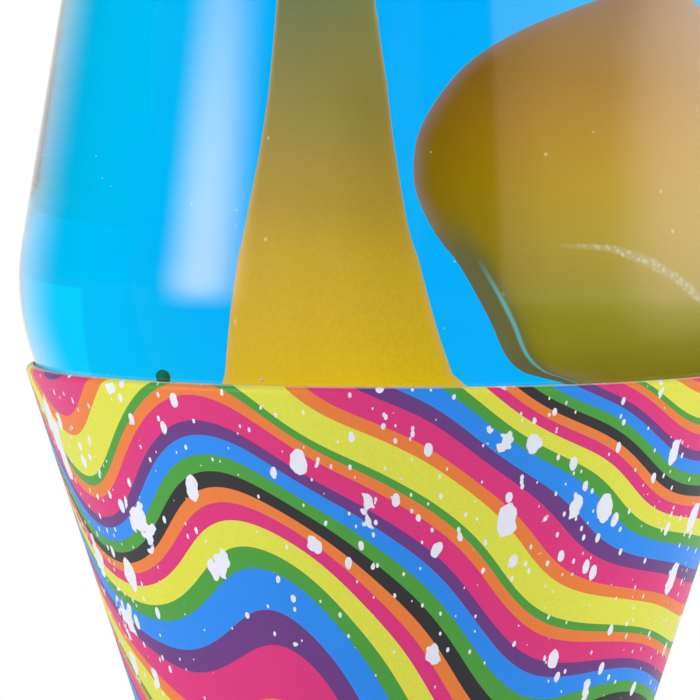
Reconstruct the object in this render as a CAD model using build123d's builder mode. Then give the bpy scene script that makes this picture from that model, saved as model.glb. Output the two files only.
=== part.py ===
from build123d import *
from math import cos, hypot, radians, sin, sqrt
import os

os.makedirs("parts", exist_ok=True)

# A liquid motion lamp, 368 mm tall. The origin is on the axis, at the level that
# the rubber feet stand on, with +Z up and the lead's gland at the back, on +Y.
# All sizes are in millimetres and degrees.

# Base: two spun cones, flange to flange at the waist
sheet = 0.8
foot_z = 1.6
foot_r = 48.0
waist_z = 76.0
waist_r = 24.0
waist_flange = 5.2
rim_z = 143.0
rim_r = 46.0
rim_bead = 1.0
rim_bead_height = 1.6
rim_rounding = 0.4
waist_rivet_count = 4
waist_rivet_angle = 45.0
waist_rivet_inset = 2.9
waist_rivet_r = 1.2
waist_rivet_head_r = 2.0
waist_rivet_head = 0.9
waist_rivet_draft = 35.0

# Printed films on the base and the cap
film = 0.2
film_glue = 0.1
film_edge = 0.8
cap_film_edge = 1.2

# Bottom plate, its screws and the feet
turn_in_lift = 2.0
turn_in_reach = 10.0
plate_t = 1.0
plate_gap = 0.6
plate_vent_count = 10
plate_vent_length = 11.0
plate_vent_width = 3.0
plate_vent_inset = 11.0
plate_centre_hole_r = 4.0
plate_stiffener_inset = 9.0
plate_screw_count = 3
plate_screw_angle = 30.0
plate_screw_inset = 6.6
plate_screw_r = 1.3
plate_screw_head_r = 2.4
plate_screw_head = 1.2
plate_screw_length = 6.0
screw_head_draft = 12.0
foot_count = 4
foot_angle = 45.0
foot_inset = 16.0
foot_pad_r = 5.0
foot_taper = 0.8
foot_stem_r = 2.0
foot_stem_tip_r = 1.2
foot_stem_head_r = 2.7
foot_stem_head = 1.4

# Bracket of bent strip that hangs from the waist
strap_t = 1.2
strap_width = 13.0
strap_leg_gap = 1.8
strap_root = 0.6
holder_screw_inset = 3.1
holder_screw_r = 1.4
holder_screw_head_r = 2.5
holder_screw_head = 1.1
holder_screw_length = 4.5

# Lampholder
holder_below_bulb = 7.0
holder_height = 24.0
holder_wall = 2.6
holder_flange_step = 3.0
holder_flange = 4.0
holder_rounding = 0.8
shell_t = 0.4
shell_gap = 0.1
contact_height = 1.0
contact_disc_r = 3.0
contact_hole_r = 3.4
contact_stem_r = 1.2
terminal_lift = 2.2
terminal_head_r = 2.0
terminal_head = 1.0
terminal_shank_r = 1.0
terminal_depth = 4.0

# Bulb: pear-shaped glass in a 17 mm screw cap
bulb_air = 10.0
bulb_length = 58.0
bulb_tip_r = 3.0
bulb_tip_flat_r = 1.5
bulb_tip = 0.9
bulb_tip_round = 0.54
bulb_insulator = 2.4
bulb_insulator_r = 6.2
bulb_cap_r = 8.5
bulb_cap_t = 0.3
bulb_cap_length = 19.0
bulb_glass_r = 17.5
bulb_glass_t = 0.7
bulb_cement = 0.05
bulb_neck_length = 4.0
bulb_neck_rise = 4.0
stem_r = 3.0
stem_rise = 12.0
stem_draft = 3.0
lead_wire_r = 0.4
lead_wire_spread = 6.0
lead_wire_root_x = 1.2
lead_wire_bury = 2.0
filament_r = 0.3
filament_rise = 10.0
filament_sag = 4.0

# Globe: the glass bottle that stands in the mouth of the cone
glass_t = 2.75
floor_t = 4.0
seat_gap = 0.15
globe_below_rim = 30.0
globe_draft = 0.0046
globe_taper_in = 3.25
globe_taper_rise = 45.8
globe_slope_up = 0.165
globe_swell = 29.0
globe_heel = 9.0
globe_punt = 1.8
globe_punt_r = 22.0
globe_shoulder_rise = 6.0
globe_shoulder_fillet = 10.0
globe_neck_r = 12.2
globe_neck_rise = 9.0
globe_neck_fillet = 6.0
finish_lip = 1.0
finish_height = 4.5
finish_fillet = 1.2

# Crown closure
crown_t = 0.3
crown_liner = 0.6
crown_skirt = 5.6
crown_gap = 0.1
crown_flutes = 21
crown_flare = 1.4
crown_flare_height = 1.8
crown_flute_r = 0.9
crown_flute_draft = 20.0
crown_edge_fillet = 1.4

# Ring of coiled wire round the floor of the bottle
coil_ring_r = 23.0
coil_r = 3.9
coil_lift = 0.1
coil_room = 0.3
coil_cover = 1.1

# Wax and liquid
fluid_gap = 0.15
neck_fill = 8.0
pool_mound = 6.5
column_bearing = 158.7
column_gap = 2.7
column_foot_gap = 6.6
column_foot_rise = 7.0
column_rim_r = 10.8
column_mid_r = 6.6
column_neck_r = 4.2
column_neck_rise = 60.0
column_head_r = 8.4
column_head_rise = 93.0
column_head = 11.0
blob_bearing = -16.7
blob_gap = 3.0
blob_rise = 25.0
blob_lean = 3.5
blob_r = 18.2
blob_up = 21.0
blob_high_r = 12.2
blob_high = 13.0
blob_low_r = 11.6
blob_low = 21.4
blob_down = 28.6

# Cap over the neck of the bottle
cap_top_z = 368.0
cap_height = 60.0
cap_room = 23.0
cap_top_r = 17.2
cap_corner = 2.5

# Gland for the lead, square to the wall of the lower cone
gland_lift = 13.4
gland_bore_r = 3.0
gland_body_r = 4.6
gland_head_r = 6.4
gland_head = 1.6
gland_rounding = 0.9
gland_lip_r = 5.6
gland_lip = 1.4
gland_lip_gap = 0.45
gland_hole_gap = 0.1

# Heights and radii that follow from those values
waist_hole_r = waist_r - waist_flange
waist_rivet_pitch_r = waist_r - waist_rivet_inset
bracket_ring_r = waist_r - sheet
turn_in_z = foot_z + turn_in_lift
turn_in_r = foot_r - turn_in_reach
plate_screw_pitch_r = foot_r - plate_screw_inset
foot_pitch_r = foot_r - foot_inset
plate_vent_pitch_r = foot_pitch_r - plate_vent_inset
plate_stiffener_r = plate_vent_pitch_r - plate_stiffener_inset
gland_z = foot_z + gland_lift

globe_bottom_z = rim_z - globe_below_rim
bulb_top_z = globe_bottom_z - bulb_air
bulb_bottom_z = bulb_top_z - bulb_length
bulb_cap_top_z = bulb_bottom_z + bulb_cap_length
bulb_shoulder_z = bulb_cap_top_z + bulb_neck_rise
stem_top_z = bulb_cap_top_z + stem_rise
filament_z = stem_top_z + filament_rise

holder_floor_z = bulb_bottom_z - holder_below_bulb
holder_top_z = holder_floor_z + holder_height
holder_cavity_z = bulb_bottom_z - contact_height
terminal_z = holder_floor_z + terminal_lift
shell_in_r = bulb_cap_r + shell_gap
shell_out_r = shell_in_r + shell_t
holder_r = shell_out_r + holder_wall
holder_flange_r = holder_r + holder_flange_step
holder_screw_pitch_r = holder_flange_r - holder_screw_inset
strap_leg_r = holder_flange_r + strap_leg_gap + strap_t

cap_bottom_z = cap_top_z - cap_height
globe_top_z = cap_top_z - cap_room
globe_shoulder_z = cap_bottom_z + globe_shoulder_rise
globe_neck_z = globe_shoulder_z + globe_neck_rise
liquid_top_z = globe_neck_z + neck_fill
finish_r = globe_neck_r + finish_lip


def on_cone(z, low, high):
    """Radius at a height on the cone through two (radius, height) points."""
    return low[0] + (high[0] - low[0]) * (z - low[1]) / (high[1] - low[1])


def side_shift(distance, low, high):
    """Radial shift that moves a cone's side square to itself by a distance."""
    return distance * hypot(high[0] - low[0], high[1] - low[1]) / (high[1] - low[1])


def lathe_face(points):
    """Closed outline of (radius, height) points, filled, in the XZ plane."""
    with BuildSketch(Plane.XZ) as profile:
        with BuildLine():
            Polyline(*points, close=True)
        make_face()
    return profile.sketch


def skin_face(low, high, inner, outer):
    """Section of a thin skin that follows a cone, between two distances off it."""
    near = side_shift(inner, low, high)
    far = side_shift(outer, low, high)
    return lathe_face(
        [
            (low[0] + near, low[1]),
            (low[0] + far, low[1]),
            (high[0] + far, high[1]),
            (high[0] + near, high[1]),
        ]
    )


def spots(radius, count, start=0.0):
    """Evenly spaced (x, y) points round the axis."""
    turn = 360.0 / count
    angles = [radians(start + turn * k) for k in range(count)]
    return [(radius * cos(a), radius * sin(a)) for a in angles]


waist_spots = spots(waist_rivet_pitch_r, waist_rivet_count, waist_rivet_angle)

# Upper cone: rolled rim, thin wall and a flat flange at the waist
upper_low = (waist_r, waist_z)
upper_high = (rim_r, rim_z)
upper_wall = side_shift(sheet, upper_low, upper_high)
bead_in_r = rim_r - rim_bead
bead_low_z = rim_z - rim_bead_height


def upper_in(z):
    """Inner radius of the upper cone at a height."""
    return on_cone(z, upper_low, upper_high) - upper_wall


with BuildPart() as upper_cone:
    with BuildSketch(Plane.XZ):
        with BuildLine():
            FilletPolyline(
                (waist_r, waist_z),
                (rim_r, rim_z),
                (bead_in_r, rim_z),
                (bead_in_r, bead_low_z),
                radius=rim_bead * rim_rounding,
            )
            Polyline(
                (bead_in_r, bead_low_z),
                (upper_in(bead_low_z - rim_bead), bead_low_z - rim_bead),
                (upper_in(waist_z + sheet), waist_z + sheet),
                (waist_hole_r, waist_z + sheet),
                (waist_hole_r, waist_z),
                (waist_r, waist_z),
            )
        make_face()
    revolve(axis=Axis.Z)
    with Locations(*[(x, y, waist_z) for x, y in waist_spots]):
        Cylinder(waist_rivet_r, 4 * sheet, mode=Mode.SUBTRACT)
upper_cone.part.label = "upper_cone"

# Lower cone: the same flange at the waist, and a turned-in flange near the foot
lower_low = (foot_r, foot_z)
lower_high = (waist_r, waist_z)
lower_wall = side_shift(sheet, lower_low, lower_high)
gland_r = on_cone(gland_z, lower_low, lower_high)
gland_plane = Plane(
    origin=(0, gland_r, gland_z),
    x_dir=(1, 0, 0),
    z_dir=(0, waist_z - foot_z, foot_r - waist_r),
)
plate_spots = spots(plate_screw_pitch_r, plate_screw_count, plate_screw_angle)


def lower_in(z):
    """Inner radius of the lower cone at a height."""
    return on_cone(z, lower_low, lower_high) - lower_wall


with BuildPart() as lower_cone:
    revolve(
        lathe_face(
            [
                (foot_r, foot_z),
                (waist_r, waist_z),
                (waist_hole_r, waist_z),
                (waist_hole_r, waist_z - sheet),
                (lower_in(waist_z - sheet), waist_z - sheet),
                (lower_in(turn_in_z + sheet), turn_in_z + sheet),
                (turn_in_r, turn_in_z + sheet),
                (turn_in_r, turn_in_z),
                (lower_in(turn_in_z), turn_in_z),
                (lower_in(foot_z), foot_z),
            ]
        ),
        axis=Axis.Z,
    )
    with Locations(*[(x, y, waist_z) for x, y in waist_spots]):
        Cylinder(waist_rivet_r, 4 * sheet, mode=Mode.SUBTRACT)
    with Locations(*[(x, y, turn_in_z) for x, y in plate_spots]):
        Cylinder(plate_screw_r, 4 * sheet, mode=Mode.SUBTRACT)
    with BuildSketch(gland_plane):
        Circle(gland_body_r + gland_hole_gap)
    extrude(amount=2 * sheet, both=True, mode=Mode.SUBTRACT)
lower_cone.part.label = "lower_cone"

# Printed films, one on each cone, short of its edges
upper_film_low_z = waist_z + film_edge
upper_film_high_z = rim_z - film_edge
lower_film_low_z = foot_z + film_edge
lower_film_high_z = waist_z - film_edge

with BuildPart() as upper_wrap:
    revolve(
        skin_face(
            (on_cone(upper_film_low_z, upper_low, upper_high), upper_film_low_z),
            (on_cone(upper_film_high_z, upper_low, upper_high), upper_film_high_z),
            film_glue,
            film_glue + film,
        ),
        axis=Axis.Z,
    )
upper_wrap.part.label = "upper_wrap"

with BuildPart() as lower_wrap:
    revolve(
        skin_face(
            (on_cone(lower_film_low_z, lower_low, lower_high), lower_film_low_z),
            (on_cone(lower_film_high_z, lower_low, lower_high), lower_film_high_z),
            film_glue,
            film_glue + film,
        ),
        axis=Axis.Z,
    )
    with BuildSketch(gland_plane):
        Circle(gland_body_r + gland_hole_gap)
    extrude(amount=2 * sheet, both=True, mode=Mode.SUBTRACT)
lower_wrap.part.label = "lower_wrap"

# Gland: a bush with an outer head and an inner lip that grip the wall
gland_out = film_glue + film
with BuildPart() as cord_bush:
    with BuildSketch(gland_plane.offset(gland_out)):
        Circle(gland_head_r)
    extrude(amount=gland_head)
    fillet(cord_bush.faces().sort_by(Axis.Y)[-1].edges(), gland_rounding)
    with BuildSketch(gland_plane.offset(gland_out)):
        Circle(gland_body_r)
    extrude(amount=-(gland_out + sheet + gland_lip_gap + gland_lip))
    with BuildSketch(gland_plane.offset(-sheet - gland_lip_gap)):
        Circle(gland_lip_r)
    extrude(amount=-gland_lip)
    with BuildSketch(gland_plane):
        Circle(gland_bore_r)
    extrude(amount=gland_head + gland_lip + 2 * sheet, both=True, mode=Mode.SUBTRACT)
cord_bush.part.label = "cord_bush"

# Bottom plate: vent slots, a pressed centre and holes for screws and feet
plate_r = lower_in(turn_in_z) - plate_gap
plate_z = turn_in_z - plate_t
foot_spots = spots(foot_pitch_r, foot_count, foot_angle)

with BuildPart() as base_plate:
    with BuildSketch(Plane.XY.offset(plate_z)):
        Circle(plate_r)
        Circle(plate_centre_hole_r, mode=Mode.SUBTRACT)
        with PolarLocations(plate_vent_pitch_r, plate_vent_count):
            SlotOverall(plate_vent_length, plate_vent_width, mode=Mode.SUBTRACT)
        with Locations(*plate_spots):
            Circle(plate_screw_r, mode=Mode.SUBTRACT)
        with Locations(*foot_spots):
            Circle(foot_stem_r, mode=Mode.SUBTRACT)
    extrude(amount=plate_t)
    revolve(
        lathe_face(
            [
                (plate_stiffener_r - plate_t, turn_in_z),
                (plate_stiffener_r + plate_t, turn_in_z),
                (plate_stiffener_r, turn_in_z + plate_t),
            ]
        ),
        axis=Axis.Z,
    )
base_plate.part.label = "base_plate"

# Screws up through the plate into the turned-in flange
with BuildPart() as plate_screws:
    with BuildSketch(Plane.XY.offset(plate_z)):
        with Locations(*plate_spots):
            Circle(plate_screw_head_r)
    extrude(amount=-plate_screw_head, taper=screw_head_draft)
    with BuildSketch(Plane.XY.offset(plate_z)):
        with Locations(*plate_spots):
            Circle(plate_screw_r)
    extrude(amount=plate_screw_length)
plate_screws.part.label = "plate_screws"

# Feet: tapered pads, each held by a stem that snaps through the plate
with BuildPart() as rubber_feet:
    for x, y in foot_spots:
        with BuildSketch(Plane.XZ.offset(-y)):
            with BuildLine():
                Polyline(
                    (x, 0),
                    (x + foot_pad_r - foot_taper, 0),
                    (x + foot_pad_r, plate_z),
                    (x + foot_stem_r, plate_z),
                    (x + foot_stem_r, turn_in_z),
                    (x + foot_stem_head_r, turn_in_z),
                    (x + foot_stem_tip_r, turn_in_z + foot_stem_head),
                    (x, turn_in_z + foot_stem_head),
                    close=True,
                )
            make_face()
        revolve(axis=Axis((x, y, 0), (0, 0, 1)))
rubber_feet.part.label = "rubber_feet"

# Rivets through both flanges and the bracket's ring
rivet_high_z = waist_z + sheet
rivet_low_z = waist_z - sheet - strap_t
with BuildPart() as waist_rivets:
    for x, y in waist_spots:
        with BuildSketch(Plane.XY.offset(rivet_low_z)):
            with Locations((x, y)):
                Circle(waist_rivet_r)
        extrude(amount=rivet_high_z - rivet_low_z)
        with BuildSketch(Plane.XY.offset(rivet_high_z)):
            with Locations((x, y)):
                Circle(waist_rivet_head_r)
        extrude(amount=waist_rivet_head, taper=waist_rivet_draft)
        with BuildSketch(Plane.XY.offset(rivet_low_z)):
            with Locations((x, y)):
                Circle(waist_rivet_head_r)
        extrude(amount=-waist_rivet_head, taper=waist_rivet_draft)
waist_rivets.part.label = "waist_rivets"

# Bracket: a ring under the flanges, two legs and a web that carries the lampholder
web_top_z = holder_floor_z
ring_low_z = rivet_low_z
strap_z = ring_low_z + strap_t / 2
strap_start_r = sqrt(bracket_ring_r**2 - (strap_width / 2) ** 2) - strap_root
holder_spots = [(-holder_screw_pitch_r, 0), (holder_screw_pitch_r, 0)]

with BuildPart() as holder_bracket:
    with BuildSketch(Plane.XY.offset(ring_low_z)):
        Circle(bracket_ring_r)
        Circle(waist_hole_r, mode=Mode.SUBTRACT)
        with Locations(*waist_spots):
            Circle(waist_rivet_r, mode=Mode.SUBTRACT)
    extrude(amount=strap_t)
    with BuildLine(Plane.XZ):
        strip = FilletPolyline(
            (-strap_start_r, strap_z),
            (-strap_leg_r + strap_t / 2, strap_z),
            (-strap_leg_r + strap_t / 2, web_top_z - strap_t / 2),
            (strap_leg_r - strap_t / 2, web_top_z - strap_t / 2),
            (strap_leg_r - strap_t / 2, strap_z),
            (strap_start_r, strap_z),
            radius=strap_t,
        )
    with BuildSketch(Plane(origin=strip @ 0, x_dir=(0, 1, 0), z_dir=strip % 0)):
        Rectangle(strap_width, strap_t)
    sweep(path=strip)
    with Locations(*[(x, y, web_top_z) for x, y in holder_spots]):
        Cylinder(holder_screw_r, 4 * strap_t, mode=Mode.SUBTRACT)
    with Locations((0, 0, web_top_z)):
        Cylinder(contact_hole_r, 4 * strap_t, mode=Mode.SUBTRACT)
holder_bracket.part.label = "holder_bracket"

# Lampholder: a stepped ceramic body with a deep cavity and a rounded mouth
holder_screw_depth = holder_screw_length - strap_t
with BuildPart() as lampholder:
    with BuildSketch(Plane.XZ):
        with BuildLine():
            FilletPolyline(
                (holder_flange_r, holder_floor_z),
                (holder_flange_r, holder_floor_z + holder_flange),
                (holder_r, holder_floor_z + holder_flange),
                (holder_r, holder_top_z),
                (shell_out_r, holder_top_z),
                radius=holder_rounding,
            )
            Polyline(
                (shell_out_r, holder_top_z),
                (shell_out_r, holder_cavity_z),
                (contact_stem_r, holder_cavity_z),
                (contact_stem_r, holder_floor_z),
                (holder_flange_r, holder_floor_z),
            )
        make_face()
    revolve(axis=Axis.Z)
    with Locations(*[(x, y, holder_floor_z) for x, y in holder_spots]):
        Cylinder(holder_screw_r, 2 * holder_screw_depth, mode=Mode.SUBTRACT)
    for side in (-1, 1):
        with BuildSketch(Plane.XZ.offset(side * holder_flange_r)):
            with Locations((0, terminal_z)):
                Circle(terminal_shank_r)
        extrude(amount=-side * terminal_depth, mode=Mode.SUBTRACT)
lampholder.part.label = "lampholder"

# Screws up through the web into the ceramic
with BuildPart() as holder_screws:
    with BuildSketch(Plane.XY.offset(web_top_z - strap_t)):
        with Locations(*holder_spots):
            Circle(holder_screw_head_r)
    extrude(amount=-holder_screw_head, taper=screw_head_draft)
    with BuildSketch(Plane.XY.offset(web_top_z - strap_t)):
        with Locations(*holder_spots):
            Circle(holder_screw_r)
    extrude(amount=holder_screw_length)
holder_screws.part.label = "holder_screws"

# Terminal screws in the front and back of the lampholder's flange
with BuildPart() as terminal_screws:
    for side in (-1, 1):
        with BuildSketch(Plane.XZ.offset(side * holder_flange_r)):
            with Locations((0, terminal_z)):
                Circle(terminal_head_r)
        extrude(amount=side * terminal_head)
        with BuildSketch(Plane.XZ.offset(side * holder_flange_r)):
            with Locations((0, terminal_z)):
                Circle(terminal_shank_r)
        extrude(amount=-side * terminal_depth)
terminal_screws.part.label = "terminal_screws"

# Screw shell and centre contact inside the lampholder
with BuildPart() as screw_shell:
    revolve(
        lathe_face(
            [
                (shell_in_r, holder_cavity_z),
                (shell_out_r, holder_cavity_z),
                (shell_out_r, holder_top_z - shell_t),
                (shell_in_r, holder_top_z - shell_t),
            ]
        ),
        axis=Axis.Z,
    )
screw_shell.part.label = "screw_shell"

with BuildPart() as centre_contact:
    revolve(
        lathe_face(
            [
                (0, holder_floor_z - strap_t),
                (contact_stem_r, holder_floor_z - strap_t),
                (contact_stem_r, holder_cavity_z),
                (contact_disc_r, holder_cavity_z),
                (contact_disc_r, (holder_cavity_z + bulb_bottom_z) / 2),
                (contact_stem_r, bulb_bottom_z),
                (0, bulb_bottom_z),
            ]
        ),
        axis=Axis.Z,
    )
centre_contact.part.label = "centre_contact"

# Bulb: tip, insulator, screw cap, blown glass, and the wires inside it
insulator_z = bulb_bottom_z + bulb_tip
cap_floor_z = insulator_z + bulb_insulator
cap_shoulder_z = cap_floor_z + bulb_cap_r - bulb_insulator_r
with BuildPart() as bulb_tip_contact:
    revolve(
        lathe_face(
            [
                (0, bulb_bottom_z),
                (bulb_tip_flat_r, bulb_bottom_z),
                (bulb_tip_r, bulb_bottom_z + bulb_tip_round),
                (bulb_tip_r, insulator_z),
                (0, insulator_z),
            ]
        ),
        axis=Axis.Z,
    )
bulb_tip_contact.part.label = "bulb_tip_contact"

with BuildPart() as bulb_insulator_ring:
    revolve(
        lathe_face(
            [
                (0, insulator_z),
                (bulb_tip_r + shell_t, insulator_z),
                (bulb_insulator_r, cap_floor_z),
                (0, cap_floor_z),
            ]
        ),
        axis=Axis.Z,
    )
bulb_insulator_ring.part.label = "bulb_insulator"

with BuildPart() as bulb_cap:
    revolve(
        lathe_face(
            [
                (0, cap_floor_z),
                (bulb_insulator_r, cap_floor_z),
                (bulb_cap_r, cap_shoulder_z),
                (bulb_cap_r, bulb_cap_top_z),
                (bulb_cap_r - bulb_cap_t, bulb_cap_top_z),
                (bulb_cap_r - bulb_cap_t, cap_shoulder_z + bulb_cap_t),
                (bulb_insulator_r - bulb_cap_t, cap_floor_z + bulb_cap_t),
                (0, cap_floor_z + bulb_cap_t),
            ]
        ),
        axis=Axis.Z,
    )
bulb_cap.part.label = "bulb_cap"


def bulb_outline(inset):
    """Draw one side of the bulb's glass, from its open neck to the top."""
    neck_r = bulb_cap_r - bulb_cap_t - bulb_cement - inset
    wide_r = bulb_glass_r - inset
    wide_z = bulb_top_z - bulb_glass_r
    neck = Line((neck_r, bulb_cap_top_z - bulb_neck_length), (neck_r, bulb_shoulder_z))
    Spline(neck @ 1, (wide_r, wide_z), tangents=[(0, 1), (0, 1)])
    dome = CenterArc((0, wide_z), wide_r, 0, 90)
    return neck @ 0, dome @ 1


with BuildPart() as bulb_glass:
    with BuildSketch(Plane.XZ):
        with BuildLine():
            outer_low, outer_top = bulb_outline(0)
            inner_low, inner_top = bulb_outline(bulb_glass_t)
            Line(outer_low, inner_low)
            Line(outer_top, inner_top)
        make_face()
    revolve(axis=Axis.Z)
bulb_glass.part.label = "bulb_glass"

stem_bottom_z = cap_floor_z + bulb_cap_t
with BuildPart() as filament:
    with BuildSketch(Plane.XY.offset(stem_bottom_z)):
        Circle(stem_r)
    extrude(amount=stem_top_z - stem_bottom_z, taper=stem_draft)
    for side in (-1, 1):
        with BuildLine():
            wire = Line(
                (side * lead_wire_root_x, 0, stem_top_z - lead_wire_bury),
                (side * lead_wire_spread, 0, filament_z),
            )
        with BuildSketch(Plane(origin=wire @ 0, z_dir=wire % 0)):
            Circle(lead_wire_r)
        sweep(path=wire)
    with BuildLine():
        arch = ThreePointArc(
            (-lead_wire_spread, 0, filament_z - lead_wire_r),
            (0, 0, filament_z - lead_wire_r + filament_sag),
            (lead_wire_spread, 0, filament_z - lead_wire_r),
        )
    with BuildSketch(Plane(origin=arch @ 0, z_dir=arch % 0)):
        Circle(filament_r)
    sweep(path=arch)
filament.part.label = "filament"

# Globe: one outline serves the glass, its cavity and the liquid
globe_rim_r = bead_in_r - seat_gap
globe_slope_down = (rim_r - waist_r) / (rim_z - waist_z) + globe_draft
globe_taper_r = globe_rim_r - globe_taper_in
globe_taper_z = rim_z + globe_taper_rise


def below_swell_r(z, inset):
    """Radius of the lower side of the bottle, moved inwards by an inset."""
    lean = sqrt(1 + globe_slope_down**2)
    return globe_rim_r - inset * lean + globe_slope_down * (z - rim_z)


def above_swell_r(z, inset):
    """Radius of the upper side of the bottle, moved inwards by an inset."""
    lean = sqrt(1 + globe_slope_up**2)
    return globe_taper_r - inset * lean - globe_slope_up * (z - globe_taper_z)


def globe_face(inset, floor_z, top_z):
    """Half section of the bottle, its walls moved inwards by an inset."""
    spread = above_swell_r(rim_z, inset) - below_swell_r(rim_z, inset)
    swell_z = rim_z + spread / (globe_slope_down + globe_slope_up)
    neck_r = globe_neck_r - inset
    with BuildSketch(Plane.XZ) as half:
        with BuildLine():
            FilletPolyline(
                (0, floor_z),
                (below_swell_r(floor_z, inset), floor_z),
                (below_swell_r(swell_z, inset), swell_z),
                (above_swell_r(globe_shoulder_z, inset), globe_shoulder_z),
                (neck_r, globe_neck_z),
                (neck_r, top_z),
                radius=[
                    globe_heel - inset,
                    globe_swell - inset,
                    globe_shoulder_fillet - inset,
                    globe_neck_fillet + inset,
                ],
            )
            Polyline((neck_r, top_z), (0, top_z), (0, floor_z))
        make_face()
    return half.sketch


inner_floor_z = globe_bottom_z + floor_t
lip_low_z = globe_top_z - finish_height
lip_root_r = globe_neck_r - glass_t / 2

with BuildPart() as globe_bottle:
    with BuildSketch(Plane.XZ):
        add(globe_face(0, globe_bottom_z, globe_top_z))
        with BuildLine():
            FilletPolyline(
                (lip_root_r, lip_low_z),
                (finish_r, lip_low_z),
                (finish_r, globe_top_z),
                (lip_root_r, globe_top_z),
                radius=finish_fillet,
            )
            Line((lip_root_r, globe_top_z), (lip_root_r, lip_low_z))
        make_face()
        add(globe_face(glass_t, inner_floor_z, globe_top_z + glass_t), mode=Mode.SUBTRACT)
        with BuildLine():
            punt = TangentArc(
                (0, globe_bottom_z + globe_punt),
                (globe_punt_r, globe_bottom_z),
                tangent=(1, 0),
            )
            Polyline(punt @ 1, (0, globe_bottom_z), punt @ 0)
        make_face(mode=Mode.SUBTRACT)
    revolve(axis=Axis.Z)
globe_bottle.part.label = "globe_bottle"

# Crown closure: a soft liner on the glass lip under a fluted steel crown
with BuildPart() as crown_liner_disc:
    with BuildSketch(Plane.XY.offset(globe_top_z)):
        Circle(finish_r - finish_fillet)
    extrude(amount=crown_liner)
crown_liner_disc.part.label = "crown_liner"

crown_in_r = finish_r + crown_gap
crown_out_r = crown_in_r + crown_t
crown_under_z = globe_top_z + crown_liner
crown_top_z = crown_under_z + crown_t
crown_low_z = crown_top_z - crown_skirt
crown_bend_z = crown_low_z + crown_flare_height
crown_hem_r = crown_out_r + crown_flare
with BuildPart() as crown_cap:
    with BuildSketch(Plane.XZ):
        with BuildLine():
            FilletPolyline(
                (0, crown_under_z),
                (crown_in_r, crown_under_z),
                (crown_in_r, crown_bend_z),
                (crown_in_r + crown_flare, crown_low_z),
                radius=[crown_edge_fillet - crown_t, crown_edge_fillet],
            )
            FilletPolyline(
                (0, crown_top_z),
                (crown_out_r, crown_top_z),
                (crown_out_r, crown_bend_z),
                (crown_hem_r, crown_low_z),
                radius=[crown_edge_fillet, crown_edge_fillet - crown_t],
            )
            Line((0, crown_under_z), (0, crown_top_z))
            Line((crown_in_r + crown_flare, crown_low_z), (crown_hem_r, crown_low_z))
        make_face()
    revolve(axis=Axis.Z)
    with BuildSketch(Plane.XY.offset(crown_low_z)):
        with PolarLocations(crown_hem_r + crown_flute_r / 2, crown_flutes):
            Circle(crown_flute_r)
    extrude(amount=crown_flare_height, taper=crown_flute_draft, mode=Mode.SUBTRACT)
crown_cap.part.label = "crown_cap"


# Ring of coiled wire that lies round the floor of the bottle, as its outer shape
coil_z = inner_floor_z + coil_r + coil_lift

with BuildPart() as heat_coil:
    with Locations((0, 0, coil_z)):
        Torus(coil_ring_r, coil_r)
heat_coil.part.label = "heat_coil"

# Wax: the pool on the floor of the bottle and the column that rises out of it
wax_floor_z = inner_floor_z + fluid_gap
wax_inset = glass_t + fluid_gap
pool_z = coil_z + coil_r + coil_cover
blob_z = rim_z + blob_rise
blob_reach = above_swell_r(blob_z, wax_inset) - blob_gap - blob_r
blob_x = blob_reach * cos(radians(blob_bearing))
blob_y = blob_reach * sin(radians(blob_bearing))
column_reach = blob_r + column_mid_r + column_gap
column_x = blob_x + column_reach * cos(radians(column_bearing))
column_y = blob_y + column_reach * sin(radians(column_bearing))
column_foot_z = inner_floor_z + column_foot_rise
column_room = below_swell_r(column_foot_z, wax_inset) - hypot(column_x, column_y)
column_foot_r = column_room - column_foot_gap
column_neck_z = rim_z + column_neck_rise
column_head_z = rim_z + column_head_rise
column_top_z = column_head_z + column_head
column_axis = Axis((column_x, column_y, 0), (0, 0, 1))


def under_pool_face(lift):
    """Half section of all that lies under the pool's domed surface."""
    edge_r = globe_taper_r
    with BuildSketch(Plane.XZ) as half:
        with BuildLine():
            dome = TangentArc(
                (0, pool_z + pool_mound + lift),
                (edge_r, pool_z + lift),
                tangent=(1, 0),
            )
            Polyline(dome @ 1, (edge_r, globe_bottom_z), (0, globe_bottom_z), dome @ 0)
        make_face()
    return half.sketch


def column_face(grow):
    """Half section of the column beside its own axis, grown all over."""
    plane = Plane(origin=(column_x, column_y, 0), z_dir=(0, -1, 0), x_dir=(1, 0, 0))
    with BuildSketch(plane) as half:
        with BuildLine():
            side = Spline(
                (column_foot_r + grow, column_foot_z),
                (column_rim_r + grow, rim_z),
                (column_mid_r + grow, blob_z),
                (column_neck_r + grow, column_neck_z),
                (column_head_r + grow, column_head_z),
                (0, column_top_z + grow),
                tangents=[(-1, 0.4), (-1, 0)],
            )
            Polyline(side @ 1, (0, column_foot_z), side @ 0)
        make_face()
    return half.sketch


with BuildPart() as wax_column:
    with BuildSketch(Plane.XZ):
        add(globe_face(wax_inset, wax_floor_z, liquid_top_z))
        add(under_pool_face(0), mode=Mode.INTERSECT)
    revolve(axis=Axis.Z)
    revolve(column_face(0), axis=column_axis)
    with Locations((0, 0, coil_z)):
        Torus(coil_ring_r, coil_r + coil_room, mode=Mode.SUBTRACT)
wax_column.part.label = "wax_column"

# Free blob of wax: a leaning drop, broad above and drawn in below
lean_sin = sin(radians(blob_lean))
lean_cos = cos(radians(blob_lean))
blob_axis = Axis((blob_x, blob_y, blob_z), (-lean_sin, 0, lean_cos))


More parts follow.
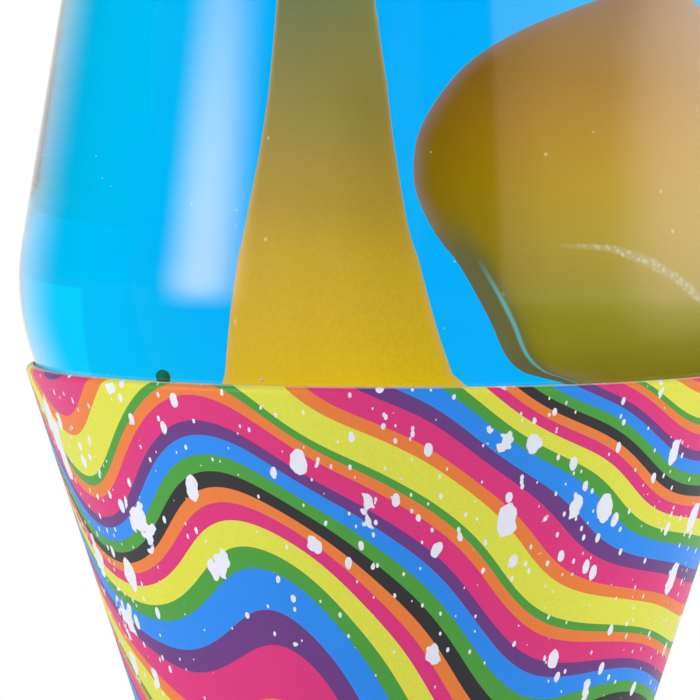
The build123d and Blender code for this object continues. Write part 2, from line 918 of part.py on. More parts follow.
def blob_face(grow):
    """Half section of the blob beside its leaning axis, grown all over."""
    plane = Plane(
        origin=(blob_x, blob_y, blob_z),
        x_dir=(lean_cos, 0, lean_sin),
        z_dir=(0, -1, 0),
    )
    with BuildSketch(plane) as half:
        with BuildLine():
            low = Spline(
                (0, -blob_down - grow),
                (blob_low_r + grow, -blob_low),
                (blob_r + grow, 0),
                tangents=[(1, 0), (0, 1)],
            )
            high = Spline(
                (blob_r + grow, 0),
                (blob_high_r + grow, blob_high),
                (0, blob_up + grow),
                tangents=[(0, 1), (-1, 0)],
            )
            Line(high @ 1, low @ 0)
        make_face()
    return half.sketch


with BuildPart() as wax_blob:
    revolve(blob_face(0), axis=blob_axis)
wax_blob.part.label = "wax_blob"

# Liquid: the rest of the bottle's inside, up to the neck
with BuildPart() as liquid:
    with BuildSketch(Plane.XZ):
        add(globe_face(wax_inset, wax_floor_z, liquid_top_z))
        add(under_pool_face(fluid_gap), mode=Mode.SUBTRACT)
    revolve(axis=Axis.Z)
    revolve(column_face(fluid_gap), axis=column_axis, mode=Mode.SUBTRACT)
    revolve(blob_face(2 * fluid_gap), axis=blob_axis, mode=Mode.SUBTRACT)
liquid.part.label = "liquid"

# Cap: a spun cone whose edge sits on the taper of the bottle
cap_edge_r = above_swell_r(cap_bottom_z, 0) + seat_gap
cap_low = (cap_edge_r + sheet, cap_bottom_z)
cap_high = (cap_top_r, cap_top_z)
cap_wall = side_shift(sheet, cap_low, cap_high)
cap_under_z = cap_top_z - sheet

with BuildPart() as top_cap:
    with BuildSketch(Plane.XZ):
        with BuildLine():
            FilletPolyline(
                cap_low,
                cap_high,
                (0, cap_top_z),
                radius=cap_corner,
            )
            FilletPolyline(
                (cap_low[0] - cap_wall, cap_bottom_z),
                (on_cone(cap_under_z, cap_low, cap_high) - cap_wall, cap_under_z),
                (0, cap_under_z),
                radius=cap_corner - sheet,
            )
            Line(cap_low, (cap_low[0] - cap_wall, cap_bottom_z))
            Line((0, cap_top_z), (0, cap_under_z))
        make_face()
    revolve(axis=Axis.Z)
top_cap.part.label = "top_cap"

cap_film_low_z = cap_bottom_z + cap_film_edge
cap_film_high_z = cap_top_z - cap_corner
with BuildPart() as cap_wrap:
    revolve(
        skin_face(
            (on_cone(cap_film_low_z, cap_low, cap_high), cap_film_low_z),
            (on_cone(cap_film_high_z, cap_low, cap_high), cap_film_high_z),
            film_glue,
            film_glue + film,
        ),
        axis=Axis.Z,
    )
cap_wrap.part.label = "cap_wrap"

for piece in (
    upper_cone,
    lower_cone,
    upper_wrap,
    lower_wrap,
    cord_bush,
    base_plate,
    plate_screws,
    rubber_feet,
    waist_rivets,
    holder_bracket,
    lampholder,
    holder_screws,
    terminal_screws,
    screw_shell,
    centre_contact,
    bulb_tip_contact,
    bulb_insulator_ring,
    bulb_cap,
    bulb_glass,
    filament,
    globe_bottle,
    crown_liner_disc,
    crown_cap,
    heat_coil,
    wax_column,
    wax_blob,
    liquid,
    top_cap,
    cap_wrap,
):
    export_step(piece.part, f"parts/{piece.part.label}.step")
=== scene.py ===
from math import ceil, cos, degrees, hypot, pi, radians, sin, sqrt, tan

import bpy
from mathutils import Matrix, Vector


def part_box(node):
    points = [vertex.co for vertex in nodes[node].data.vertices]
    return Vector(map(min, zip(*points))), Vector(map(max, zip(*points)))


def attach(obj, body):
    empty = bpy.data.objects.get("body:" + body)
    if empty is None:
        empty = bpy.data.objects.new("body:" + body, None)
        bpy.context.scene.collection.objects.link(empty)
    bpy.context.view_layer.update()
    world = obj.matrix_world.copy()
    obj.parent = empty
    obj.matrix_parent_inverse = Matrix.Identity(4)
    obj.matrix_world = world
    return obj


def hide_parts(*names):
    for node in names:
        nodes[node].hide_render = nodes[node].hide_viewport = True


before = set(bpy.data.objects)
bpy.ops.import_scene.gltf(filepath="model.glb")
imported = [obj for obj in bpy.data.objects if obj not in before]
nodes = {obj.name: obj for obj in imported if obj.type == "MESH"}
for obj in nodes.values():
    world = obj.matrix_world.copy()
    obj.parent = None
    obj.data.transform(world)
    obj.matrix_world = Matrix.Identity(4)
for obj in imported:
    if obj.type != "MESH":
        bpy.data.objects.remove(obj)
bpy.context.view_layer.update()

# Sizes are in millimetres, as on the drawing of the lamp, and MM turns them into metres
MM = 0.001
SHEET = 0.8
FILM = 0.2
FILM_GLUE = 0.1
FILM_EDGE = 0.8
CAP_FILM_EDGE = 1.2
FILM_STOP = 0.2
RIM_BEAD = 1.0
RIM_DEPTH = 1.6
RIM_STEP = 1.0
RIM_ROUND = 0.45
WAIST_HOLE_R = 18.8
TURN_IN_R = 38.0
TURN_IN_Z = 3.6
GLASS = 2.75
GLASS_FLOOR = 4.0
SEAT_GAP = 0.15
WAX_GAP = 0.15
LIQUID_LAP = 0.04
SLOPE_DOWN = 0.333
SLOPE_UP = 0.165
TAPER_R = 41.6
TAPER_Z = 188.8
SWELL = 29.0
HEEL = 9.0
PUNT = 1.8
PUNT_R = 22.0
SHOULDER_Z = 314.0
SHOULDER_FILLET = 10.0
NECK_R = 12.2
NECK_Z = 323.0
NECK_FILLET = 6.0
FINISH_R = 13.2
FINISH_HEIGHT = 4.5
FINISH_FILLET = 1.2
LIP_ROUND = 0.6
CAP_CORNER = 2.5
COIL_RING_R = 23.0
COIL_R = 3.4
COIL_WIRE_R = 0.5
COIL_TURNS = 44
COIL_SWEEP = radians(352.0)
COIL_LIFT = 0.1
COIL_ROOM = 0.8


def low(node):
    """Lowest corner of a CAD node, in millimetres."""
    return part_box(node)[0] / MM


def high(node):
    """Highest corner of a CAD node, in millimetres."""
    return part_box(node)[1] / MM


FOOT_Z = low("lower_cone").z
FOOT_R = high("lower_cone").x
WAIST_Z = high("lower_cone").z
WAIST_R = FOOT_R / 2
RIM_Z = high("upper_cone").z
RIM_R = 46.0
GLOBE_Z = low("globe_bottle").z
GLOBE_TOP_Z = high("globe_bottle").z
GLOBE_RIM_R = RIM_R - RIM_BEAD - SEAT_GAP
COIL_Z = GLOBE_Z + GLASS_FLOOR + COIL_LIFT + COIL_WIRE_R + COIL_R
LIQUID_TOP_Z = high("liquid").z
CAP_Z = low("top_cap").z
CAP_TOP_Z = high("top_cap").z
CAP_TOP_R = 17.2

# Wax pool, and the drop of dye on the glass: its height and bearing
POOL_Z = 126.0
POOL_MOUND = 6.5
BEAD_Z = 144.2
BEAD_TURN = -0.712

# Printed film: thread spacing of its weave and height over which the bands repeat
WEAVE = 0.42
BAND_HEIGHT = 40.0

# Floating wax: its middle from front to back, the painted highlight streak low on its left and the
# painted reflection streak across it
BLOB_Y = -6.0
HIGHLIGHT_LOW = 140.0
HIGHLIGHT_HIGH = 157.0
HIGHLIGHT_MIDDLE = 26.4
HIGHLIGHT_LEAN = -0.24
HIGHLIGHT_TURN = -0.95
GLINT_Z = 159.9
GLINT_SLOPE = 0.07
GLINT_TURN_X = 22.5
GLINT_BEND = 0.036


# Modelling
def deselect():
    """Leave edit mode with nothing selected."""
    if bpy.context.object and bpy.context.object.mode != "OBJECT":
        bpy.ops.object.mode_set(mode="OBJECT")
    bpy.ops.object.select_all(action="DESELECT")


def pick(piece):
    """Make one piece the active and only selected object."""
    deselect()
    piece.select_set(True)
    bpy.context.view_layer.objects.active = piece


def named(name):
    """Name the new primitive and its mesh."""
    piece = bpy.context.object
    piece.name = name
    piece.data.name = name
    return piece


def settle(piece, angle):
    """Close the seams, turn the faces outwards, smooth them and fix the place in the mesh."""
    bpy.ops.object.mode_set(mode="EDIT")
    bpy.ops.mesh.select_all(action="SELECT")
    bpy.ops.mesh.remove_doubles(threshold=0.002 * MM)
    bpy.ops.mesh.normals_make_consistent(inside=False)
    bpy.ops.object.mode_set(mode="OBJECT")
    pick(piece)
    bpy.ops.object.transform_apply(location=True, rotation=True, scale=True)
    bpy.ops.object.shade_smooth_by_angle(angle=radians(angle))
    return piece


def rounded(corners, radii, step):
    """Outline through (radius, height) corners, the inner ones rounded by arcs."""
    outline = [Vector(corners[0])]
    for before, corner, after, radius in zip(corners, corners[1:], corners[2:], radii):
        here = Vector(corner)
        back = (Vector(before) - here).normalized()
        ahead = (Vector(after) - here).normalized()
        half = back.angle(ahead) / 2
        centre = here + (back + ahead).normalized() * radius / sin(half)
        spoke = here + back * radius / tan(half) - centre
        turn = pi - 2 * half
        if back.x * ahead.y - back.y * ahead.x > 0:
            turn = -turn
        count = max(2, ceil(abs(degrees(turn)) / step))
        for k in range(count + 1):
            outline.append(centre + Matrix.Rotation(turn * k / count, 2) @ spoke)
    outline.append(Vector(corners[-1]))
    return outline


def lathe(name, outline, steps=192, angle=35.0):
    """A point drawn along an outline of (radius, height) points, then spun round the Z axis."""
    deselect()
    bpy.ops.mesh.primitive_plane_add(size=MM)
    piece = named(name)
    bpy.ops.object.mode_set(mode="EDIT")
    bpy.ops.mesh.merge(type="CENTER")
    start = Vector((outline[0][0], 0, outline[0][1]))
    bpy.ops.transform.translate(value=start * MM)
    for here, there in zip(outline, outline[1:]):
        step = Vector((there[0] - here[0], 0, there[1] - here[1])) * MM
        bpy.ops.mesh.extrude_region_move(TRANSFORM_OT_translate={"value": step})
    bpy.ops.mesh.select_all(action="SELECT")
    bpy.ops.mesh.spin(steps=steps, angle=2 * pi, center=(0, 0, 0), axis=(0, 0, 1))
    return settle(piece, angle)


def stack(name, rings, sides):
    """A form drawn up ring by ring, each ring a (centre, radius), and closed at both ends."""
    deselect()
    centre, radius = rings[0]
    bpy.ops.mesh.primitive_circle_add(
        vertices=sides, radius=radius * MM, fill_type="TRIFAN", location=Vector(centre) * MM
    )
    piece = named(name)
    bpy.ops.object.transform_apply(location=True, rotation=False, scale=False)
    bpy.ops.object.mode_set(mode="EDIT")
    bpy.ops.mesh.select_mode(type="EDGE")
    bpy.ops.mesh.select_all(action="DESELECT")
    bpy.ops.mesh.select_non_manifold(use_wire=False, use_multi_face=False, use_verts=False)
    for (here, wide), (there, next_wide) in zip(rings, rings[1:]):
        step = (Vector(there) - Vector(here)) * MM
        bpy.ops.mesh.extrude_region_move(TRANSFORM_OT_translate={"value": step})
        grow = next_wide / wide
        bpy.ops.transform.resize(value=(grow, grow, grow), center_override=Vector(there) * MM)
    bpy.ops.mesh.edge_face_add()
    bpy.ops.mesh.poke()
    bpy.ops.mesh.select_mode(type="VERT")
    return settle(piece, 60.0)


def flowing(rows, parts):
    """Rows of numbers joined by a smooth curve through all of them."""
    made = []
    for k in range(len(rows) - 1):
        here, there = rows[k], rows[k + 1]
        before = rows[max(k - 1, 0)]
        after = rows[min(k + 2, len(rows) - 1)]
        for part in range(parts):
            t = part / parts
            row = []
            for a, b, c, d in zip(before, here, there, after):
                bend = 2 * b + (c - a) * t + (2 * a - 5 * b + 4 * c - d) * t**2
                row.append((bend + (3 * b - a - 3 * c + d) * t**3) / 2)
            made.append(row)
    made.append(list(rows[-1]))
    return made


def combine(piece, tool, operation):
    """Join or cut a piece with another by a Boolean that is applied."""
    pick(piece)
    change = piece.modifiers.new("combine", "BOOLEAN")
    change.operation = operation
    change.object = tool
    change.solver = "EXACT"
    bpy.ops.object.modifier_apply(modifier=change.name)
    bpy.data.objects.remove(tool)
    pick(piece)
    bpy.ops.object.shade_smooth_by_angle(angle=radians(40.0))
    return piece


# Materials
def new_material(name):
    """Material with its nodes, its links and its Principled shader."""
    material = bpy.data.materials.new(name)
    material.use_nodes = True
    tree = material.node_tree
    return material, tree, tree.nodes["Principled BSDF"]


def maths(tree, operation, *terms):
    """Maths node on numbers and sockets, and its result."""
    node = tree.nodes.new("ShaderNodeMath")
    node.operation = operation
    for socket, term in zip(node.inputs, terms):
        if isinstance(term, (int, float)):
            socket.default_value = term
        else:
            tree.links.new(term, socket)
    return node.outputs[0]


def product(tree, first, second):
    """Product of two numbers or sockets."""
    return maths(tree, "MULTIPLY", first, second)


def difference(tree, first, second):
    """First number or socket less the second."""
    return maths(tree, "SUBTRACT", first, second)


def blend_colour(tree, share, first, second, kind="MIX"):
    """Colour mix of two colours or sockets, and its result."""
    node = tree.nodes.new("ShaderNodeMix")
    node.data_type = "RGBA"
    node.blend_type = kind
    sockets = (node.inputs[0], node.inputs[6], node.inputs[7])
    for socket, term in zip(sockets, (share, first, second)):
        if isinstance(term, (int, float, tuple)):
            socket.default_value = term
        else:
            tree.links.new(term, socket)
    return node.outputs[2]


def colour_ramp(tree, value, stops, interpolation="LINEAR"):
    """Colour ramp with (place, colour) stops, and its colour."""
    node = tree.nodes.new("ShaderNodeValToRGB")
    ramp = node.color_ramp
    ramp.interpolation = interpolation
    while len(ramp.elements) < len(stops):
        ramp.elements.new(1.0)
    for element, (place, colour) in zip(ramp.elements, stops):
        element.position = place
        element.color = colour
    tree.links.new(value, node.inputs[0])
    return node.outputs[0]


def ranged(tree, value, from_low, from_high, to_low, to_high, smooth=False):
    """Value carried from one range to another and held at its ends."""
    node = tree.nodes.new("ShaderNodeMapRange")
    node.interpolation_type = "SMOOTHSTEP" if smooth else "LINEAR"
    for socket, term in zip(node.inputs[1:5], (from_low, from_high, to_low, to_high)):
        socket.default_value = term
    tree.links.new(value, node.inputs[0])
    return node.outputs[0]


def srgb(red, green, blue):
    """Linear colour of a screen colour given from 0 to 255."""
    channels = []
    for level in (red, green, blue):
        share = level / 255
        channels.append(share / 12.92 if share <= 0.04045 else ((share + 0.055) / 1.055) ** 2.4)
    return (*channels, 1.0)


def screen_stops(*rows):
    """Stops of a colour ramp from rows of a place and a screen colour."""
    return [(place, srgb(*colour)) for place, *colour in rows]


def linear_stops(*rows):
    """Stops of a colour ramp from rows of a place and a linear colour."""
    return [(place, (*colour, 1.0)) for place, *colour in rows]


def coordinates(tree, kind="Object"):
    """Texture coordinates of a kind, the object's own unless another is named."""
    return tree.nodes.new("ShaderNodeTexCoord").outputs[kind]


def parts_of(tree, vector):
    """Three parts of a vector."""
    node = tree.nodes.new("ShaderNodeSeparateXYZ")
    tree.links.new(vector, node.inputs[0])
    return node.outputs[:]


def in_mm(tree, length):
    """Length in millimetres."""
    return maths(tree, "DIVIDE", length, MM)


def noise(tree, vector, scale, detail=2.0):
    """Noise texture's value on a vector."""
    node = tree.nodes.new("ShaderNodeTexNoise")
    node.inputs["Scale"].default_value = scale
    node.inputs["Detail"].default_value = detail
    tree.links.new(vector, node.inputs["Vector"])
    return node.outputs[0]


def cells(tree, vector, scale):
    """Voronoi cells on a vector."""
    node = tree.nodes.new("ShaderNodeTexVoronoi")
    node.inputs["Scale"].default_value = scale
    tree.links.new(vector, node.inputs["Vector"])
    return node.outputs


def bump(tree, shader, height, distance, strength=1.0):
    """Bump from a height into a shader's normal."""
    node = tree.nodes.new("ShaderNodeBump")
    node.inputs["Distance"].default_value = distance
    node.inputs["Strength"].default_value = strength
    tree.links.new(height, node.inputs["Height"])
    tree.links.new(node.outputs[0], shader.inputs["Normal"])


def grey(tree, value):
    """Colour with the same value in all three channels."""
    node = tree.nodes.new("ShaderNodeCombineColor")
    for socket in node.inputs[:3]:
        tree.links.new(value, socket)
    return node.outputs[0]


def from_axis(tree, x, y):
    """Distance from the Z axis."""
    square = maths(tree, "ADD", product(tree, x, x), product(tree, y, y))
    return maths(tree, "SQRT", square)


def through_glass(tree, path):
    """Light path that has gone through glass and hasn't been mirrored on the way."""
    unmirrored = maths(tree, "LESS_THAN", path.outputs["Glossy Depth"], 0.5)
    return product(tree, path.outputs["Is Transmission Ray"], unmirrored)


def group_of(name, inputs, outputs):
    """Empty shader node group with named inputs and outputs."""
    tree = bpy.data.node_groups.new(name, "ShaderNodeTree")
    for label, kind, value in inputs:
        socket = tree.interface.new_socket(label, in_out="INPUT", socket_type=kind)
        socket.default_value = value
    for label, kind in outputs:
        tree.interface.new_socket(label, in_out="OUTPUT", socket_type=kind)
    return tree, tree.nodes.new("NodeGroupInput"), tree.nodes.new("NodeGroupOutput")


def use_group(tree, group, **values):
    """Place a node group in a material with its own values."""
    node = tree.nodes.new("ShaderNodeGroup")
    node.node_tree = group
    for label, value in values.items():
        node.inputs[label].default_value = value
    return node


def printed_bands():
    """Flowing bands of bright ink with flecks of unprinted white, round a cone about the Z axis."""
    tree, entry, leave = group_of(
        "printed bands",
        [("Shift", "NodeSocketFloat", 0.0)],
        [("Color", "NodeSocketColor"), ("Fleck", "NodeSocketFloat"), ("Grain", "NodeSocketFloat")],
    )
    link = tree.links.new
    point = coordinates(tree)
    x, y, z = parts_of(tree, point)
    turn = maths(tree, "ARCTAN2", x, product(tree, y, -1.0))
    height = in_mm(tree, z)
    level = maths(tree, "ADD", maths(tree, "DIVIDE", height, BAND_HEIGHT), entry.outputs["Shift"])
    # Waves that bend the bands: their number round the cone, reach, start and lean
    for waves, reach, phase, lean in (
        (1, 0.85, 0.25, 0.004),
        (2, 0.3, 0.4, 0.03),
        (3, 0.16, 2.6, -0.025),
        (5, 0.07, 1.0, 0.05),
    ):
        angle = maths(tree, "MULTIPLY_ADD", turn, float(waves), phase)
        angle = maths(tree, "MULTIPLY_ADD", height, lean, angle)
        wave = maths(tree, "SINE", angle)
        level = maths(tree, "MULTIPLY_ADD", wave, reach, level)
    drift = noise(tree, point, 22.0, 1.0)
    level = maths(tree, "MULTIPLY_ADD", drift, 0.7, level)
    cycle = maths(tree, "FRACT", level)
    yellow = srgb(214, 216, 66)
    pink = srgb(212, 40, 118)
    orange = srgb(226, 120, 50)
    green = srgb(66, 150, 52)
    blue = srgb(24, 132, 232)
    purple = srgb(98, 48, 124)
    black = srgb(34, 34, 38)
    inks = [
        (0.0, yellow), (0.115, orange), (0.165, pink), (0.255, purple), (0.315, blue), (0.4, green),
        (0.455, yellow), (0.53, pink), (0.585, orange), (0.63, black), (0.68, green), (0.735, blue),
        (0.8, purple), (0.845, pink), (0.925, orange), (0.965, green),
    ]
    ink = colour_ramp(tree, cycle, inks, "CONSTANT")
    ripple = tree.nodes.new("ShaderNodeTexNoise")
    ripple.inputs["Scale"].default_value = 420.0
    ripple.inputs["Detail"].default_value = 2.0
    link(point, ripple.inputs["Vector"])
    crowd = noise(tree, point, 26.0, 1.0)
    flecks = None
    # Flecks of four sizes: cells to the metre, least and most reach, share left out, splash and lean
    for scale, least, most, spread, splash, lean in (
        (78.0, 0.09, 0.27, 0.38, 0.0048, 22.0),
        (165.0, 0.09, 0.27, 0.36, 0.0016, -26.0),
        (350.0, 0.06, 0.24, 0.42, 0.0006, 34.0),
        (760.0, 0.05, 0.22, 0.52, 0.0002, 0.0),
    ):
        apart = tree.nodes.new("ShaderNodeVectorMath")
        apart.operation = "MULTIPLY_ADD"
        link(ripple.outputs["Color"], apart.inputs[0])
        apart.inputs[1].default_value = (splash, splash, splash)
        link(point, apart.inputs[2])
        stretch = tree.nodes.new("ShaderNodeMapping")
        stretch.inputs["Rotation"].default_value = (0.0, radians(lean), 0.0)
        stretch.inputs["Scale"].default_value = (1.2, 1.2, 0.62)
        link(apart.outputs[0], stretch.inputs[0])
        cell = cells(tree, stretch.outputs[0], scale)
        part = tree.nodes.new("ShaderNodeSeparateColor")
        link(cell["Color"], part.inputs[0])
        drawn = maths(tree, "MULTIPLY_ADD", difference(tree, crowd, 0.5), 2.2, part.outputs[0])
        size = ranged(tree, drawn, spread, 1.1, least, most)
        size = product(tree, size, maths(tree, "GREATER_THAN", drawn, spread))
        inside = difference(tree, size, cell["Distance"])
        inside = ranged(tree, inside, 0.0, 0.008, 0.0, 1.0)
        flecks = inside if flecks is None else maths(tree, "MAXIMUM", flecks, inside)
    across = product(tree, turn, RIM_R)
    threads = []
    for way in ("ADD", "SUBTRACT"):
        slant = maths(tree, way, height, across)
        threads.append(maths(tree, "SINE", product(tree, slant, 2 * pi / WEAVE)))
    grain = product(tree, *threads)
    speck = noise(tree, point, 2600.0)
    grain = maths(tree, "MULTIPLY_ADD", difference(tree, speck, 0.5), 1.6, grain)
    shade = maths(tree, "MULTIPLY_ADD", grain, 0.09, 1.0)
    white = srgb(224, 227, 240)
    toned = blend_colour(tree, flecks, ink, white)
    link(blend_colour(tree, 1.0, toned, grey(tree, shade), "MULTIPLY"), leave.inputs["Color"])
    link(flecks, leave.inputs["Fleck"])
    link(grain, leave.inputs["Grain"])
    return tree


def turned_metal_group():
    """Fine rings and soft clouding of a metal that was spun or drawn about the Z axis."""
    tree, entry, leave = group_of(
        "turned metal",
        [("Pitch", "NodeSocketFloat", 0.35), ("Cloud", "NodeSocketFloat", 40.0)],
        [("Roughness", "NodeSocketFloat"), ("Height", "NodeSocketFloat"), ("Tone", "NodeSocketFloat")],
    )
    point = coordinates(tree)
    x, y, z = parts_of(tree, point)
    along = in_mm(tree, maths(tree, "MULTIPLY_ADD", z, 0.7, from_axis(tree, x, y)))
    lines = tree.nodes.new("ShaderNodeTexNoise")
    lines.noise_dimensions = "1D"
    lines.inputs["Detail"].default_value = 3.0
    tree.links.new(maths(tree, "DIVIDE", along, entry.outputs["Pitch"]), lines.inputs["W"])
    cloud = tree.nodes.new("ShaderNodeTexNoise")
    tree.links.new(point, cloud.inputs["Vector"])
    tree.links.new(entry.outputs["Cloud"], cloud.inputs["Scale"])
    rough = maths(tree, "MULTIPLY_ADD", cloud.outputs[0], 0.16, 0.2)
    rough = maths(tree, "MULTIPLY_ADD", lines.outputs[0], 0.1, rough)
    tree.links.new(rough, leave.inputs["Roughness"])
    tree.links.new(lines.outputs[0], leave.inputs["Height"])
    tree.links.new(ranged(tree, cloud.outputs[0], 0.3, 0.7, 0.88, 1.0), leave.inputs["Tone"])
    return tree


BANDS = printed_bands()
TURNED = turned_metal_group()


def metal(name, colour, pitch=0.35, cloud=40.0, depth=0.01):
    """Bare metal with the fine lines that it was made with."""
    material, tree, shader = new_material(name)
    finish = use_group(tree, TURNED, Pitch=pitch, Cloud=cloud)
    shader.inputs["Metallic"].default_value = 1.0
    tone = blend_colour(tree, 1.0, colour, grey(tree, finish.outputs["Tone"]), "MULTIPLY")
    tree.links.new(tone, shader.inputs["Base Color"])
    tree.links.new(finish.outputs["Roughness"], shader.inputs["Roughness"])
    bump(tree, shader, finish.outputs["Height"], depth * MM)
    return material


def printed_film(name, shift, edge_z):
    """Satin printed film, a little raised where the ink lies, with a painted highlight that pales it
    near its top edge where it rounds over the rim.
    """
    material, tree, shader = new_material(name)
    print_on = use_group(tree, BANDS, Shift=shift)
    height = in_mm(tree, parts_of(tree, coordinates(tree))[2])
    # Painted highlight: the film turns paler just below its top edge, on the rounded top of the rim
    painted_rim_highlight = ranged(tree, height, edge_z - 0.22, edge_z - 0.06, 0.0, 0.5, True)
    shown = blend_colour(tree, painted_rim_highlight, print_on.outputs["Color"], srgb(236, 226, 206))
    tree.links.new(shown, shader.inputs["Base Color"])
    shader.inputs["Roughness"].default_value = 0.45
    shader.inputs["Specular IOR Level"].default_value = 0.3
    shader.inputs["Coat Weight"].default_value = 0.12
    shader.inputs["Coat Roughness"].default_value = 0.24
    relief = maths(tree, "MULTIPLY_ADD", print_on.outputs["Fleck"], -0.6, print_on.outputs["Grain"])
    bump(tree, shader, relief, 0.012 * MM, 0.7)
    return material


def see_through(tree, shader):
    """Let light for shadows straight through, so that what is inside is lit."""
    output = tree.nodes["Material Output"]
    path = tree.nodes.new("ShaderNodeLightPath")
    clear = tree.nodes.new("ShaderNodeBsdfTransparent")
    mix = tree.nodes.new("ShaderNodeMixShader")
    tree.links.new(path.outputs["Is Shadow Ray"], mix.inputs[0])
    tree.links.new(shader.outputs[0], mix.inputs[1])
    tree.links.new(clear.outputs[0], mix.inputs[2])
    tree.links.new(mix.outputs[0], output.inputs["Surface"])
    return path


def clear_glass(name, ior, gloss):
    """Clear polished glass and the colour of what it reflects face on."""
    material, tree, shader = new_material(name)
    shader.inputs["Base Color"].default_value = (1.0, 1.0, 1.0, 1.0)
    shader.inputs["Roughness"].default_value = 0.0
    shader.inputs["IOR"].default_value = ior
    shader.inputs["Transmission Weight"].default_value = 1.0
    shader.inputs["Specular Tint"].default_value = gloss
    see_through(tree, shader)
    return material


def dyed_liquid():
    """Clear blue fluid: light takes up the dye where it leaves on the far side."""
    material, tree, shader = new_material("dyed liquid")
    shader.inputs["Roughness"].default_value = 0.0
    shader.inputs["IOR"].default_value = 1.34
    shader.inputs["Transmission Weight"].default_value = 1.0
    shader.inputs["Specular Tint"].default_value = (0.15, 0.15, 0.15, 1.0)
    path = see_through(tree, shader)
    geometry = tree.nodes.new("ShaderNodeNewGeometry")
    facing = tree.nodes.new("ShaderNodeLayerWeight")
    facing.inputs["Blend"].default_value = 0.5
    blues = linear_stops(
        (0.0, 0.0, 0.195, 0.98),
        (0.03, 0.0, 0.21, 0.98),
        (0.1, 0.0, 0.34, 1.0),
        (0.2, 0.0, 0.43, 1.0),
        (0.29, 0.0, 0.48, 1.0),
        (0.335, 0.2, 0.5, 0.95),
        (0.37, 0.0, 0.4, 1.0),
    )
    depth = colour_ramp(tree, facing.outputs["Facing"], blues)
    white = (1.0, 1.0, 1.0, 1.0)
    unscattered = maths(tree, "LESS_THAN", path.outputs["Diffuse Depth"], 0.5)
    leaving = product(tree, geometry.outputs["Backfacing"], unscattered)
    body = blend_colour(tree, leaving, white, depth)
    seen = blend_colour(tree, path.outputs["Is Camera Ray"], body, (0.0, 0.5, 1.0, 1.0))
    tree.links.new(seen, shader.inputs["Base Color"])
    return material


def soft_wax(name, heights, colours, sides, side_shading, edge, rim_light_share):
    """Molten wax, its colour set by height, painted shading from side to side and painted rim light at
    its pale edge.
    """
    material, tree = new_material(name)[:2]
    point = coordinates(tree)
    along, back, height = (in_mm(tree, part) for part in parts_of(tree, point))
    cloud = difference(tree, noise(tree, point, 30.0), 0.5)
    clouded = maths(tree, "MULTIPLY_ADD", cloud, 2.0, height)
    tone = colour_ramp(tree, ranged(tree, clouded, *heights, 0.0, 1.0), colours)
    # Painted shading: the tone is multiplied by a ramp from left to right across the wax, standing in
    # for how light falls on it
    depth = colour_ramp(tree, ranged(tree, along, *sides, 0.0, 1.0), side_shading)
    tone = blend_colour(tree, 1.0, tone, depth, "MULTIPLY")
    # Painted rim light: a pale colour mixed in where the surface turns away from the view
    facing = tree.nodes.new("ShaderNodeLayerWeight")
    facing.inputs["Blend"].default_value = 0.5
    rim = ranged(tree, facing.outputs["Facing"], 0.55, 0.98, 0.0, rim_light_share, True)
    tone = blend_colour(tree, rim, tone, edge)
    mote = ranged(tree, cells(tree, point, 190.0)["Distance"], 0.03, 0.06, 0.45, 0.0)
    tone = blend_colour(tree, mote, tone, (0.85, 0.78, 0.5, 1.0))
    milk = ranged(tree, noise(tree, point, 2400.0), 0.3, 0.7, 0.0, 0.12)
    tone = blend_colour(tree, milk, tone, (0.24, 0.19, 0.0, 1.0))
    return material, tree, tone, (point, along, back, height)


def painted_wax_glow(tree, tone):
    """Give molten wax its colour by reflected light and by a painted glow: emission that stands in for
    the bulb's light coming through it.
    """
    shader = tree.nodes["Principled BSDF"]
    held = blend_colour(tree, 1.0, tone, (0.5, 0.5, 0.5, 1.0), "MULTIPLY")
    tree.links.new(held, shader.inputs["Base Color"])
    tree.links.new(tone, shader.inputs["Emission Color"])
    # Painted glow: the wax is no lamp, and this emission stands in for the bulb's light shining up
    # through it
    shader.inputs["Emission Strength"].default_value = 0.68
    shader.inputs["Roughness"].default_value = 0.5
    shader.inputs["Specular IOR Level"].default_value = 0.0


def plain_finish(name, colour, roughness, grain, depth, coat=0.0):
    """Moulded, glazed or rubbed surface with a fine grain and slight clouding."""
    material, tree, shader = new_material(name)
    point = coordinates(tree)
    cloud = noise(tree, point, 60.0, 3.0)
    clouding = grey(tree, ranged(tree, cloud, 0.3, 0.7, 0.85, 1.1))
    tree.links.new(blend_colour(tree, 1.0, colour, clouding, "MULTIPLY"), shader.inputs["Base Color"])
    rough = ranged(tree, cloud, 0.3, 0.7, roughness - 0.06, roughness + 0.08)
    tree.links.new(rough, shader.inputs["Roughness"])
    shader.inputs["Coat Weight"].default_value = coat
    bump(tree, shader, noise(tree, point, grain, 3.0), depth * MM)
    return material


aluminium = metal("spun aluminium", srgb(206, 208, 212))
steel = metal("zinced steel", srgb(188, 190, 194), 0.8, 90.0)
rivet_metal = metal("rivet aluminium", srgb(205, 205, 206), 0.5)
brass = metal("contact brass", srgb(214, 176, 98), 0.4)
bulb_metal = metal("bulb cap metal", srgb(200, 196, 184), 0.5)
solder = metal("tip solder", srgb(170, 170, 172), 1.5, 200.0, 0.03)
spring_wire = metal("spring wire", srgb(190, 190, 190), 0.5)
filament_metal = metal("filament wire", srgb(120, 118, 116), 0.5)
tinplate = plain_finish("lacquered tinplate", srgb(228, 226, 216), 0.3, 300.0, 0.01, 0.6)
ceramic = plain_finish("glazed ceramic", srgb(232, 230, 222), 0.2, 200.0, 0.02, 0.7)
rubber = plain_finish("black rubber", srgb(34, 34, 35), 0.7, 900.0, 0.03)
nylon = plain_finish("black nylon", srgb(38, 38, 40), 0.45, 900.0, 0.015)
vitrite = plain_finish("black glass insulator", srgb(24, 24, 28), 0.15, 200.0, 0.01, 0.5)
